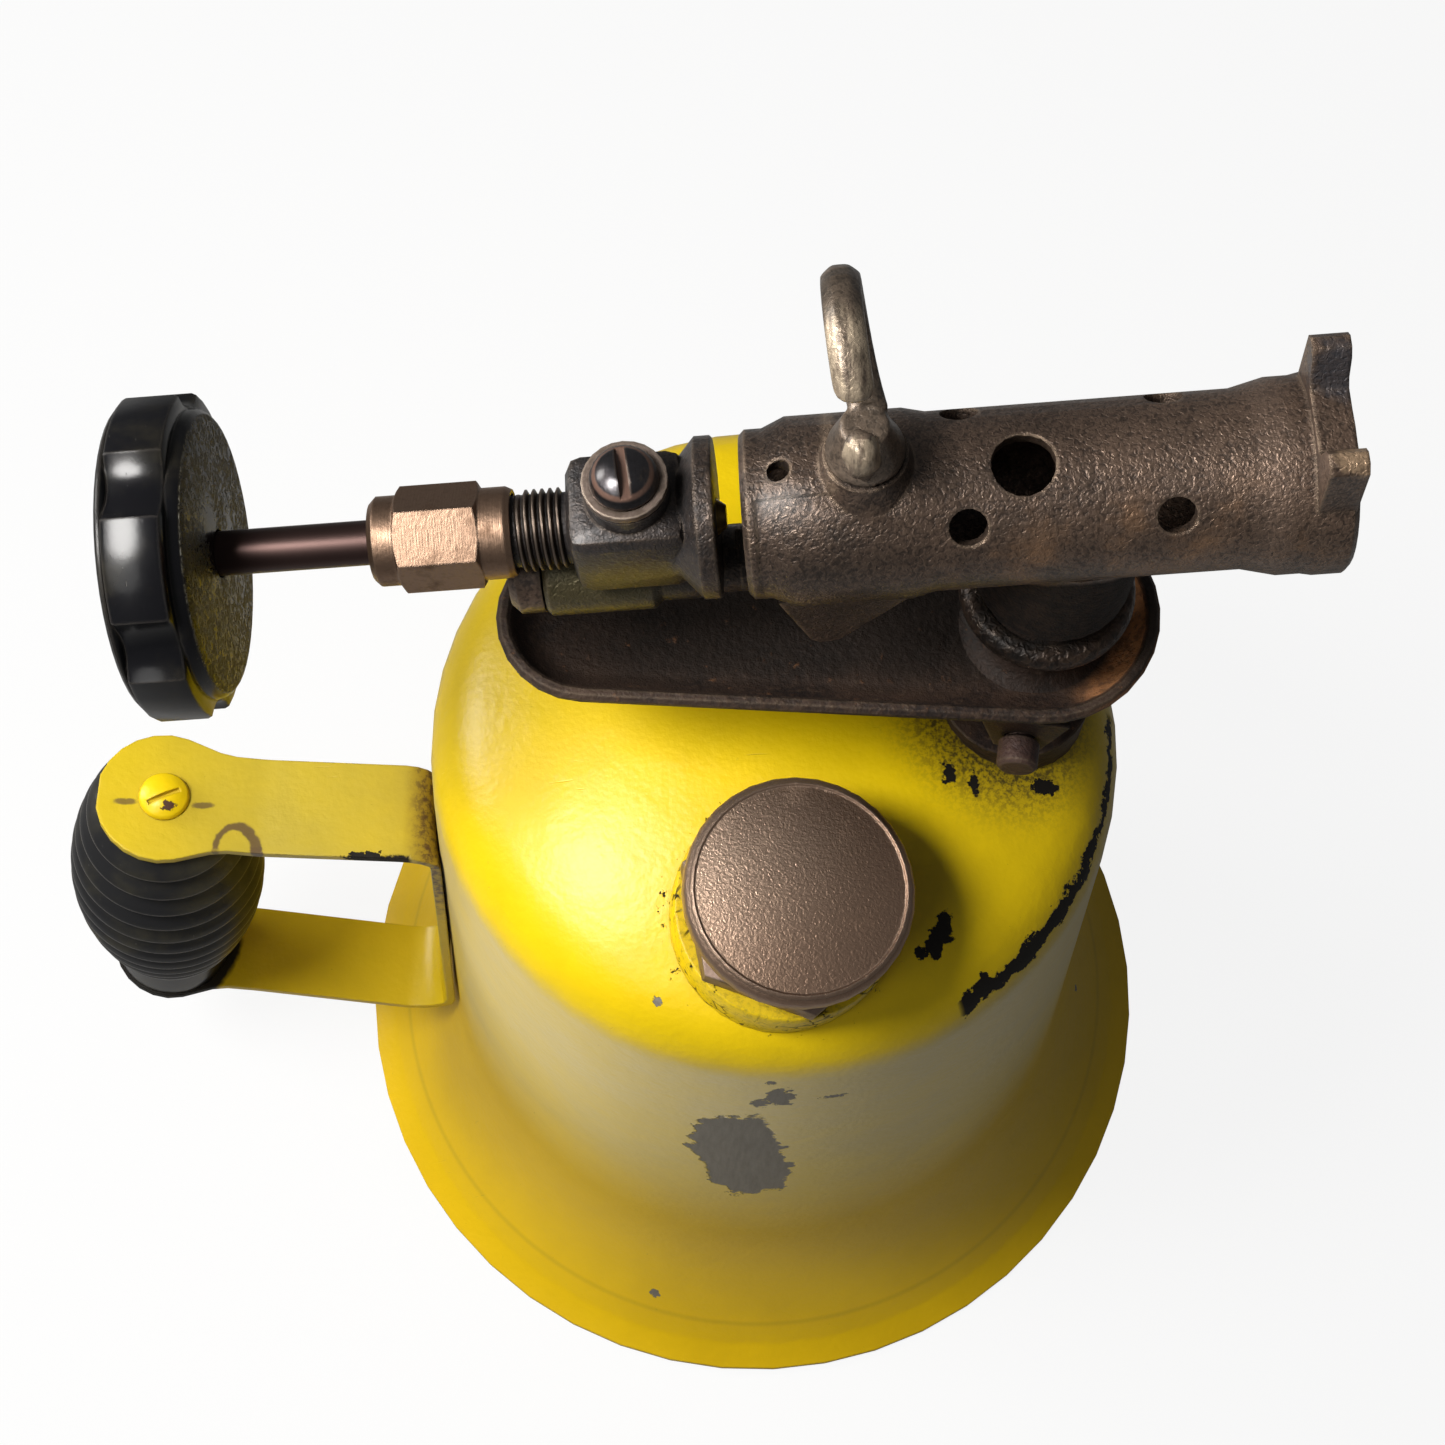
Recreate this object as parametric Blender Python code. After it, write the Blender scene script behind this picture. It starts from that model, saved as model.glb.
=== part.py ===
"""Gasoline blow torch: bell shaped tank, hand pump, riser, drip tray and a cast burner.

The frame has Z up and stands on the rim of the tank's skirt. The burner fires towards +X.
"""
import math

import bmesh
import bpy
from mathutils import Matrix, Vector

# Clearances and mesh values shared by all pieces
SEAT_GAP = 0.0003
RUNNING_GAP = 0.0001
CUT_OVERRUN = 0.003
WELD_DISTANCE = 0.000001
TANK_SEGMENTS = 48
LARGE_SEGMENTS = 32
MEDIUM_SEGMENTS = 24
SMALL_SEGMENTS = 16
TINY_SEGMENTS = 12
SHARP_ANGLE = math.radians(32)
DRILL_TURN = math.radians(7)
BORE_TURN = math.radians(2)
CHAMFER_FACE_SHARE = 0.97
CHAMFER_SLOPE_SHARE = 0.5

# Tank shell
RIM_RADIUS = 0.0800
TANK_HEIGHT = 0.1635
CROWN_RADIUS = 0.1250
SHOULDER_RADIUS = 0.0150
WALL_TOP_RADIUS = 0.0550
WALL_FOOT_RADIUS = 0.0602
WALL_FOOT_HEIGHT = 0.0420
SHEET_THICKNESS = 0.0012
RIM_LIP_WIDTH = 0.0048
RIM_LIP_HEIGHT = 0.0050
RIM_EDGE_HEIGHT = 0.0016
RIM_BEAD_DROP = 0.0008
FLARE_STEPS = 6
CROWN_STEPS = 5
FLARE_BEND_SHARES = (0.13, 0.40)

# Tank bottom and filler
BOTTOM_RISE = 0.0120
BOTTOM_THICKNESS = 0.0010
BOTTOM_FLANGE_HEIGHT = 0.0050
BOTTOM_CORNER_RADIUS = 0.0020
BOTTOM_STEPS = 3
BUSH_BORE_RADIUS = 0.0072
BUSH_WALL = 0.0025
BUSH_FLANGE_WIDTH = 0.0030
BUSH_FLANGE_THICKNESS = 0.0020
BUSH_DROP = 0.0030
FILLER_SHANK_LENGTH = 0.0075
FILLER_HEX_FLATS = 0.0190
FILLER_HEX_HEIGHT = 0.0060
FILLER_GASKET_THICKNESS = 0.0015
FILLER_GASKET_OVERLAP = 0.0012

# Pump
PUMP_X = -0.0004
PUMP_Y = -0.0337
PUMP_SEAT_DROP = 0.0010
PUMP_LEAN_FORWARD = math.radians(5)
PUMP_LEAN_SIDE = math.radians(6)
PUMP_BUNG_RADIUS = 0.0168
PUMP_BUNG_DEPTH = 0.0130
PUMP_BUNG_WALL = 0.0020
PUMP_BUNG_SLOPE = 0.0004
PUMP_CAP_FLATS = 0.0296
PUMP_CAP_HEX_HEIGHT = 0.0050
PUMP_CAP_SKIRT_LENGTH = 0.0080
PUMP_CAP_SKIRT_WALL = 0.0017
PUMP_CAP_ROOF = 0.0030
PUMP_CAP_TURN = math.radians(39)
BARREL_RADIUS = 0.0106
BARREL_WALL = 0.0006
VALVE_FOOT_GAP = 0.0009
BARREL_FLOOR = 0.0015
ROD_RADIUS = 0.0032
ROD_STUD_SHARE = 0.7
PISTON_THICKNESS = 0.0020
PISTON_REST_GAP = 0.0045
CUP_DEPTH = 0.0080
CUP_WALL = 0.0012
PISTON_NUT_FLATS = 0.0100
PISTON_NUT_HEIGHT = 0.0035
ROD_END_LENGTH = 0.0010
KNOB_RADIUS = 0.0169
KNOB_HUB_RADIUS = 0.0075
KNOB_HUB_HEIGHT = 0.0024
KNOB_RIM_THICKNESS = 0.0045
KNOB_CROWN = 0.0010
KNOB_EDGE_RADIUS = 0.0013
KNOB_RIDGE_RADIUS = 0.0157
KNOB_RIDGE_WIDTH = 0.0009
KNOB_RIDGE_HEIGHT = 0.0003
KNOB_SOCKET_DEPTH = 0.0045
KNOB_EDGE_STEPS = 3
KNOB_EDGE_SWEEP = 75

# Check valve at the foot of the pump barrel
VALVE_RADIUS = 0.0060
VALVE_LENGTH = 0.0125
VALVE_BORE_RADIUS = 0.0031
VALVE_ROOF = 0.0015
VALVE_FLOOR = 0.0015
VALVE_SEAT_RADIUS = 0.0018
VALVE_OUTLET_RADIUS = 0.0010
VALVE_NIPPLE_LENGTH = 0.0030
VALVE_NIPPLE_RADIUS = 0.0032
BALL_RADIUS = 0.0024
BALL_GAP = 0.00005
BALL_SWEEP = 67.5
BALL_STEPS = 6
SPRING_RADIUS = 0.0017
SPRING_WIRE_RADIUS = 0.00028
SPRING_TURNS = 5
SPRING_POINTS_PER_TURN = 9

# Riser, its bung on the dome, and the fuel pick-up
RISER_X = 0.0363
RISER_RADIUS = 0.0060
RISER_WALL = 0.0016
RISER_BELOW_CROWN = 0.0335
RISER_BUNG_RADIUS = 0.0117
RISER_BUNG_SINK = 0.0003
RISER_BUNG_DEPTH = 0.0120
RISER_BUNG_NECK_WALL = 0.0024
PICKUP_WALL = 0.0007
PICKUP_FOOT_GAP = 0.0010
PICKUP_TOP_DROP = 0.0130
WICK_DROP = 0.0005
WICK_TOP_DROP = 0.0080

# Drip tray, measured from the riser's axis
TRAY_ABOVE_CROWN = 0.0285
TRAY_BIG_RADIUS = 0.0173
TRAY_SMALL_RADIUS = 0.0129
TRAY_CENTRE_DISTANCE = 0.0645
TRAY_TURN = math.radians(-1.5)
TRAY_DEPTH = 0.0075
TRAY_BEAD_RADIUS = 0.0011
TRAY_WALL = 0.0016
TRAY_SLOPE_WIDTH = 0.0030
TRAY_BEAD_STEPS = 5
TRAY_BEAD_START = 210
TRAY_BEAD_SWEEP = 240
TRAY_BEAD_ROOT_SHARE = 0.7
TRAY_BIG_STEPS = 16
TRAY_SMALL_STEPS = 12
TRAY_HUB_RADIUS = 0.0092
TRAY_HUB_HEIGHT = 0.0090
LUG_TOP_WIDTH = 0.0130
LUG_FOOT_WIDTH = 0.0068
LUG_REACH = 0.0150
LUG_TURN = math.radians(-9)
SET_SCREW_RADIUS = 0.0020
SET_SCREW_RISE = 0.0036
SET_SCREW_HEAD_RADIUS = 0.0030
SET_SCREW_HEAD_LENGTH = 0.0045

# Burner axis: it crosses the riser's axis and rises towards the muzzle
BURNER_ABOVE_CROWN = 0.0652
BURNER_TILT = math.radians(5)
BURNER_YAW = math.radians(-0.15)

# Handwheel and valve, from left to right along the burner axis
STEM_REACH = 0.0203
NUT_NOSE_LENGTH = 0.0034
NUT_HEX_LENGTH = 0.0112
NUT_SKIRT_LENGTH = 0.0040
THREAD_SHOWN_LENGTH = 0.0074
BLOCK_LENGTH = 0.0154
FLANGE_NECK_LENGTH = 0.0013
FLANGE_THICKNESS = 0.0023
SLOT_WIDTH = 0.0035
TUBE_LENGTH = 0.0764
RISER_FROM_TUBE_START = 0.0430
STEM_RADIUS = 0.00295
SPINDLE_WAIST_RADIUS = 0.0017
NEEDLE_RADIUS = 0.0008
NEEDLE_TIP_RADIUS = 0.0003
NEEDLE_CONE_LENGTH = 0.0030
WHEEL_LOBES = 6
WHEEL_LOBE_RADIUS = 0.0215
WHEEL_BODY_RADIUS = 0.0191
WHEEL_DISC_RADIUS = 0.0204
WHEEL_DISC_THICKNESS = 0.0011
WHEEL_THICKNESS = 0.0106
WHEEL_SHOULDER = 0.0019
WHEEL_EDGE = 0.0004
WHEEL_LOBE_BEVEL = 0.0008
WHEEL_BEVEL_ANGLE = math.radians(60)
WHEEL_RECESS_DEPTH = 0.0035
WHEEL_RECESS_RADIUS = 0.0145
WHEEL_WEB = 0.0045
LOBE_ANGLE_SHARES = (0.0, 0.08, 0.15, 0.205, 0.36, 0.5, 0.64, 0.795, 0.85, 0.92)
LOBE_HEIGHT_SHARES = (0.0, 0.12, 0.45, 1.0, 1.0, 1.0, 1.0, 1.0, 0.45, 0.12)
WHEEL_SCREW_RADIUS = 0.0018
WHEEL_SCREW_HEAD_RADIUS = 0.0042
WHEEL_SCREW_HEAD_HEIGHT = 0.0020
WHEEL_SCREW_LENGTH = 0.0060
NUT_HEX_FLATS = 0.0121
NUT_NOSE_RADIUS = 0.0059
NUT_SKIRT_RADIUS = 0.0060
NUT_EDGE = 0.0008
NUT_TURN = math.radians(-4)
NUT_ROOF = 0.0042
SLEEVE_RADIUS = 0.0047
SLEEVE_ENGAGED_LENGTH = 0.0098
PACKING_GAP = 0.0003

# Burner casting
BLOCK_HALF_WIDTH = 0.0068
BLOCK_BELOW = 0.0072
BLOCK_ABOVE = 0.0082
BLOCK_EDGE = 0.0022
FLANGE_RADIUS = 0.0106
FLANGE_NECK_START_RADIUS = 0.0066
FLANGE_NECK_MID_RADIUS = 0.0074
TUBE_RIM_RADIUS = 0.0110
TUBE_RIM_LENGTH = 0.0030
TUBE_REAR_RADIUS = 0.0123
TUBE_RADIUS = 0.0116
TUBE_BORE_RADIUS = 0.0094
TUBE_REAR_LENGTH = 0.0210
MUZZLE_LENGTH = 0.0136
MUZZLE_STEP_LENGTH = 0.0045
MUZZLE_RADIUS = 0.0127
MUZZLE_LIP_LENGTH = 0.0053
MUZZLE_LIP_RADIUS = 0.0130
MUZZLE_BORE_RADIUS = 0.0107
SADDLE_HALF_WIDTH = 0.0098
SADDLE_HEIGHT = 0.0192
SADDLE_NOTCH_DEPTH = 0.0050
SADDLE_NOTCH_HALF_WIDTH = 0.0052
SADDLE_EDGE = 0.0010
HOOK_PAD_RADIUS = 0.0054
HOOK_PAD_FOOT_SHARE = 1.35
HOOK_PAD_HEIGHT = 0.0146
HOOK_FROM_TUBE_START = 0.0160
PASSAGE_DROP = 0.0128
PASSAGE_RADIUS = 0.0045
PASSAGE_BORE_RADIUS = 0.0014
LOWER_BARREL_RADIUS = 0.0060
LOWER_BARREL_START = 0.0051
LOWER_BARREL_LENGTH = 0.0150
LOWER_NECK_RADIUS = 0.0050
PLUG_RADIUS = 0.0054
PLUG_LENGTH = 0.0045
PLUG_SHANK_RADIUS = 0.0030
PLUG_SHANK_LENGTH = 0.0045
PLUG_EDGE = 0.0012
WEB_HALF_THICKNESS = 0.0027
SPINDLE_BORE_RADIUS = 0.00305
CLEANOUT_FROM_BLOCK = 0.0082
CLEANOUT_BOSS_RADIUS = 0.0055
CLEANOUT_BOSS_HEIGHT = 0.0109
CLEANOUT_BORE_RADIUS = 0.0022
CLEANOUT_HEAD_RADIUS = 0.0045
CLEANOUT_HEAD_HEIGHT = 0.0030
CLEANOUT_WASHER_RADIUS = 0.0055
CLEANOUT_WASHER_THICKNESS = 0.0011
CLEANOUT_SHANK_LENGTH = 0.0050
JET_RADIUS = 0.0024
JET_LENGTH = 0.0075
JET_ORIFICE_RADIUS = 0.0004
JET_INLET_RADIUS = 0.0013
JET_INLET_DEPTH = 0.0052
JET_TIP_RADIUS = 0.0015
JET_REACH = 0.0012
BOSS_RADIUS = 0.0109
BOSS_DROP = 0.0249
BOSS_EDGE = 0.0012
BOSS_NECK_RADIUS = 0.0086
BOSS_NECK_LENGTH = 0.0022
COLLAR_RADIUS = 0.0098
COLLAR_HEIGHT = 0.0056
COLLAR_EDGE = 0.0014
SOCKET_BELOW_PASSAGE = 0.0049
BOSS_WAY_RADIUS = 0.0026
FIN_OFFSET = 0.0080
FIN_THICKNESS = 0.0026
FIN_START = 0.0035
FIN_LENGTH = 0.0180
FIN_TIP_SHARE = 0.28
FIN_DROP = 0.0218
FIN_ROOT_DROP = 0.0080
VENT_PLACE = 0.0050
VENT_RADIUS = 0.0015
TOP_HOLE_PLACE = 0.0355
TOP_HOLE_RADIUS = 0.0041
TOP_HOLE_TURN = math.radians(7)
AIR_HOLE_RADIUS = 0.0025
REAR_HOLE_PLACE = 0.0282
REAR_HOLE_TURN = math.radians(45)
FRONT_HOLE_PLACE = 0.0541
FRONT_HOLE_TURN = math.radians(47)

# Hook
HOOK_RING_RADIUS = 0.0095
HOOK_RING_Y = 0.0040
HOOK_RING_RISE = 0.0305
HOOK_BAND_WIDTH = 0.0052
HOOK_BAND_THICKNESS = 0.0042
HOOK_START_ANGLE = math.radians(-100)
HOOK_END_ANGLE = math.radians(137)
HOOK_STEPS = 18
HOOK_START_LEAN = 0.0007
HOOK_MIDDLE_LEAN = -0.0030
HOOK_END_LEAN = -0.0011
HOOK_FOOT_RADIUS = 0.0050
HOOK_NECK_RADIUS = 0.0030
HOOK_NECK_RISE = 0.0220
HOOK_STUD_RADIUS = 0.0024
HOOK_STUD_DEPTH = 0.0034
HOOK_TIP_SHARES = (0.45, 0.8)

# Handle bracket and grip, in a frame that points away from the tank
HANDLE_TURN = math.radians(175.4)
HANDLE_SIDE_SHIFT = 0.0067
HANDLE_LEAN = math.radians(1.4)
STRAP_THICKNESS = 0.0016
ACROSS_SHARES = (-1.0, -0.5, 0.0, 0.5, 1.0)
NECK_SHARES = (0.25, 0.5, 0.75, 1.0)
EYE_STEPS = 6
UPPER_EYE_OUT = 0.1005
UPPER_EYE_HEIGHT = 0.1245
LOWER_EYE_OUT = 0.1135
LOWER_EYE_HEIGHT = 0.0465
EYE_RADIUS = 0.0111
NECK_LENGTH = 0.0050
ARM_ROOT_HEIGHT = 0.1215
LOWER_ROOT_HEIGHT = 0.0340
ARM_HALF_WIDTH = 0.0084
LOWER_ARM_HALF_WIDTH = 0.0081
BEND_RADIUS = 0.0040
LOWER_BEND_RADIUS = 0.0060
NECK_BEND_RADIUS = 0.0200
GRIP_END_RADIUS = 0.0112
GRIP_MAX_RADIUS = 0.0167
GRIP_FOOT_RADIUS = 0.0105
GRIP_FOOT_LENGTH = 0.0060
GRIP_RIBS = 10
GRIP_GROOVE_DEPTH = 0.0011
GRIP_BULGE_SHARE = 0.85
GRIP_FOOT_SHARE = 0.2
RIB_PLACE_SHARES = (0.0, 0.3, 0.75)
RIB_HEIGHT_SHARES = (0.0, 1.0, 0.9)
BOLT_RADIUS = 0.0021
BOLT_HEAD_RADIUS = 0.0042
BOLT_HEAD_HEIGHT = 0.0021
BOLT_NUT_FLATS = 0.0072
BOLT_NUT_HEIGHT = 0.0030
BOLT_END_LENGTH = 0.0012
DOME_HEAD_STEPS = 4

# Colours, roughness and metallic share of each finish
YELLOW_PAINT = ("yellow_paint", (0.82, 0.62, 0.02), 0.38, 0.0)
TINNED_SHEET = ("tinned_sheet", (0.42, 0.41, 0.38), 0.45, 1.0)
CAST_BRONZE = ("cast_bronze", (0.105, 0.070, 0.048), 0.55, 0.9)
TURNED_BRONZE = ("turned_bronze", (0.36, 0.24, 0.16), 0.42, 0.95)
BROWN_BRONZE = ("brown_bronze", (0.19, 0.13, 0.10), 0.42, 0.9)
YELLOW_BRASS = ("yellow_brass", (0.60, 0.43, 0.16), 0.35, 1.0)
WORN_IRON = ("worn_iron", (0.16, 0.13, 0.08), 0.45, 0.9)
RUSTY_IRON = ("rusty_iron", (0.075, 0.050, 0.040), 0.75, 0.5)
DARK_STEEL = ("dark_steel", (0.060, 0.035, 0.030), 0.35, 0.9)
BLACK_MOULDING = ("black_moulding", (0.012, 0.012, 0.013), 0.25, 0.0)
LEATHER = ("leather", (0.13, 0.075, 0.04), 0.8, 0.0)
PACKING_CORD = ("packing_cord", (0.10, 0.10, 0.10), 0.8, 0.0)
COTTON = ("cotton", (0.55, 0.50, 0.40), 0.95, 0.0)


def clear_scene():
    """Remove every object that the file opens with."""
    for item in list(bpy.data.objects):
        bpy.data.objects.remove(item, do_unlink=True)


def finish(paint):
    """Return the material of a paint tuple, making it on first use."""
    name, colour, roughness, metallic = paint
    found = bpy.data.materials.get(name)
    if found:
        return found
    made = bpy.data.materials.new(name)
    made.use_nodes = True
    shader = made.node_tree.nodes["Principled BSDF"]
    shader.inputs["Base Color"].default_value = (*colour, 1.0)
    shader.inputs["Roughness"].default_value = roughness
    shader.inputs["Metallic"].default_value = metallic
    made.diffuse_color = (*colour, 1.0)
    return made


def mesh_from(name, bm):
    """Close a bmesh into a smooth shaded mesh with its faces pointing out."""
    bmesh.ops.recalc_face_normals(bm, faces=bm.faces)
    mesh = bpy.data.meshes.new(name)
    bm.to_mesh(mesh)
    bm.free()
    mesh.shade_smooth()
    mesh.set_sharp_from_angle(angle=SHARP_ANGLE)
    return mesh


def empty(name, parent=None, location=(0, 0, 0), rotation=(0, 0, 0)):
    """Add an empty that carries pieces."""
    made = bpy.data.objects.new(name, None)
    bpy.context.collection.objects.link(made)
    made.parent = parent
    made.location = location
    made.rotation_euler = rotation
    return made


def piece(name, mesh, paint, parent, location=(0, 0, 0), rotation=(0, 0, 0)):
    """Add one named piece with its material."""
    made = bpy.data.objects.new(name, mesh)
    bpy.context.collection.objects.link(made)
    made.parent = parent
    made.location = location
    made.rotation_euler = rotation
    mesh.materials.append(finish(paint))
    return made


def guide(name, mesh, parent, location=(0, 0, 0), rotation=(0, 0, 0)):
    """Add a shape that only cuts or adds to a piece."""
    made = bpy.data.objects.new(name, mesh)
    bpy.context.collection.objects.link(made)
    made.parent = parent
    made.location = location
    made.rotation_euler = rotation
    made.hide_render = True
    made.display_type = "WIRE"
    return made


def combine(target, operation, *tools):
    """Join, cut or intersect a piece with guides through Boolean modifiers."""
    for tool in tools:
        step = target.modifiers.new(tool.name, "BOOLEAN")
        step.operation = operation
        step.object = tool
    return target


def arc(centre, radius, start, end, steps):
    """Return points of an arc, angles in degrees from the first axis."""
    angles = [math.radians(start + (end - start) * i / steps) for i in range(steps + 1)]
    return [(centre[0] + radius * math.cos(a), centre[1] + radius * math.sin(a)) for a in angles]


def lathe(name, outline, segments, closed=False, turn=0.0):
    """Spin a radius and height outline round Z."""
    bm = bmesh.new()
    verts = [bm.verts.new((r, 0, z)) for r, z in outline]
    edges = [bm.edges.new(pair) for pair in zip(verts, verts[1:])]
    if closed:
        edges.append(bm.edges.new((verts[-1], verts[0])))
    bmesh.ops.spin(
        bm, geom=verts + edges, axis=(0, 0, 1), cent=(0, 0, 0), angle=math.tau, steps=segments
    )
    bmesh.ops.remove_doubles(bm, verts=bm.verts, dist=WELD_DISTANCE)
    bmesh.ops.rotate(bm, verts=bm.verts, cent=(0, 0, 0), matrix=Matrix.Rotation(turn, 3, "Z"))
    return mesh_from(name, bm)


def rod(name, radius, low, high, segments, turn=0.0):
    """Make a plain cylinder between two heights."""
    return lathe(name, [(0, low), (radius, low), (radius, high), (0, high)], segments, turn=turn)


def tube(name, inner, outer, low, high, segments):
    """Make a plain pipe between two heights."""
    outline = [(inner, low), (outer, low), (outer, high), (inner, high)]
    return lathe(name, outline, segments, closed=True)


def corner_radius(flats):
    """Return the corner radius of a hexagon from its width across flats."""
    return flats / 2 / math.cos(math.pi / 6)


def hexagon(name, flats, low, high, turn=0.0):
    """Make a hexagonal prism between two heights."""
    return rod(name, corner_radius(flats), low, high, 6, turn=turn)


def chamfer_drum(name, flats, low, high, both=True):
    """Make the turned drum that rounds a hexagon's corners."""
    face = flats / 2 * CHAMFER_FACE_SHARE
    wide = corner_radius(flats) + CUT_OVERRUN
    drop = (wide - face) * CHAMFER_SLOPE_SHARE
    rise = face / 2 * CHAMFER_SLOPE_SHARE
    foot = [(0, low - rise), (face / 2, low - rise), (wide, low + drop)]
    if not both:
        foot = [(0, low - CUT_OVERRUN), (wide, low - CUT_OVERRUN)]
    outline = foot + [(wide, high - drop), (face / 2, high + rise), (0, high + rise)]
    return lathe(name, outline, MEDIUM_SEGMENTS, turn=DRILL_TURN)


def prism(name, points, low, high):
    """Extrude a closed outline in the XY plane between two heights."""
    bm = bmesh.new()
    face = bm.faces.new([bm.verts.new((x, y, low)) for x, y in points])
    lifted = bmesh.ops.extrude_face_region(bm, geom=[face])
    moved = [item for item in lifted["geom"] if isinstance(item, bmesh.types.BMVert)]
    bmesh.ops.translate(bm, verts=moved, vec=(0, 0, high - low))
    return mesh_from(name, bm)


def loft(name, rings):
    """Bridge closed rings of equal length and cap both ends."""
    bm = bmesh.new()
    rows = [[bm.verts.new(point) for point in ring] for ring in rings]
    for row, after in zip(rows, rows[1:]):
        for i, vert in enumerate(row):
            following = (i + 1) % len(row)
            bm.faces.new((vert, row[following], after[following], after[i]))
    bm.faces.new(rows[0])
    bm.faces.new(rows[-1])
    return mesh_from(name, bm)


def dome_head(name, radius, height, shank_radius, shank_length):
    """Make a round headed screw whose head seats at height zero."""
    outline = [(0, -shank_length), (shank_radius, -shank_length), (shank_radius, 0), (radius, 0)]
    for i in range(1, DOME_HEAD_STEPS + 1):
        angle = math.pi / 2 * i / DOME_HEAD_STEPS
        outline.append((radius * math.cos(angle), height * math.sin(angle)))
    outline[-1] = (0, height)
    return lathe(name, outline, MEDIUM_SEGMENTS)


def bottom_crown():
    """Return the height of the dished bottom's upper face at the axis."""
    return WALL_FOOT_HEIGHT + BOTTOM_RISE + BOTTOM_THICKNESS


def burner_height():
    """Return the height at which the burner's axis crosses the riser's."""
    return TANK_HEIGHT + BURNER_ABOVE_CROWN


def crown_centre():
    """Return the height of the crown sphere's centre."""
    return TANK_HEIGHT - CROWN_RADIUS


def shoulder_centre():
    """Return the radius and height of the shoulder fillet's centre."""
    across = WALL_TOP_RADIUS - SHOULDER_RADIUS
    between = CROWN_RADIUS - SHOULDER_RADIUS
    return across, crown_centre() + math.sqrt(between**2 - across**2)


def wall_radius(height):
    """Return the outer radius of the straight wall at a height."""
    top = shoulder_centre()[1]
    share = (top - height) / (top - WALL_FOOT_HEIGHT)
    return WALL_TOP_RADIUS + (WALL_FOOT_RADIUS - WALL_TOP_RADIUS) * share


def dome_outline(grow=0.0):
    """Return the crown and shoulder from the axis to the top of the wall."""
    across, height = shoulder_centre()
    meeting = math.degrees(math.atan2(height - crown_centre(), across))
    crown = arc((0, crown_centre()), CROWN_RADIUS + grow, 90, meeting, CROWN_STEPS)
    crown[0] = (0, crown[0][1])
    shoulder = arc((across, height), SHOULDER_RADIUS + grow, meeting, 0, CROWN_STEPS)
    return crown + shoulder[1:]


def flare_outline():
    """Return the skirt from the foot of the wall to the floor."""
    lip_radius = RIM_RADIUS - RIM_LIP_WIDTH
    start = Vector((WALL_FOOT_RADIUS, WALL_FOOT_HEIGHT))
    end = Vector((lip_radius, RIM_LIP_HEIGHT))
    span = end - start
    bend = start + Vector((span.x * FLARE_BEND_SHARES[0], span.y * (1 - FLARE_BEND_SHARES[1])))
    points = []
    for i in range(1, FLARE_STEPS + 1):
        t = i / FLARE_STEPS
        point = start.lerp(bend, t).lerp(bend.lerp(end, t), t)
        points.append((point.x, point.y))
    points.append((lip_radius + RIM_BEAD_DROP, RIM_LIP_HEIGHT - RIM_BEAD_DROP))
    points.append((RIM_RADIUS, RIM_EDGE_HEIGHT))
    points.append((RIM_RADIUS, 0))
    return points


def build_tank(stand, pump_line, riser_line):
    """Build the drawn shell with its bung holes, the dished bottom and the filler."""
    wall_mid = (WALL_FOOT_HEIGHT + shoulder_centre()[1]) / 2
    outline = dome_outline() + [(wall_radius(wall_mid), wall_mid)]
    outline += [(WALL_FOOT_RADIUS, WALL_FOOT_HEIGHT)] + flare_outline()
    shell = piece("tank_shell", lathe("tank_shell", outline, TANK_SEGMENTS), YELLOW_PAINT, stand)
    skin = shell.modifiers.new("sheet", "SOLIDIFY")
    skin.thickness = SHEET_THICKNESS
    skin.offset = -1
    skin.use_even_offset = True
    pump_hole = rod(
        "pump_hole", pump_neck_radius() + SEAT_GAP, -PUMP_BUNG_DEPTH - CUT_OVERRUN,
        PUMP_BUNG_DEPTH, LARGE_SEGMENTS,
    )
    riser_hole = rod(
        "riser_hole", riser_neck_radius() + SEAT_GAP, TANK_HEIGHT - PUMP_BUNG_DEPTH - RISER_BUNG_DEPTH,
        TANK_HEIGHT + CUT_OVERRUN, MEDIUM_SEGMENTS,
    )
    combine(
        shell, "DIFFERENCE",
        guide("pump_hole", pump_hole, pump_line),
        guide("riser_hole", riser_hole, riser_line),
    )
    build_bottom(stand)


def bottom_edge_radius():
    """Return the radius of the bottom's flange inside the wall."""
    return wall_radius(WALL_FOOT_HEIGHT + BOTTOM_FLANGE_HEIGHT) - SHEET_THICKNESS - SEAT_GAP


def bottom_height(radius):
    """Return the height of the dished bottom's lower face at a radius."""
    share = radius / bottom_edge_radius()
    return WALL_FOOT_HEIGHT + BOTTOM_RISE * (1 - share**2)


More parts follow.
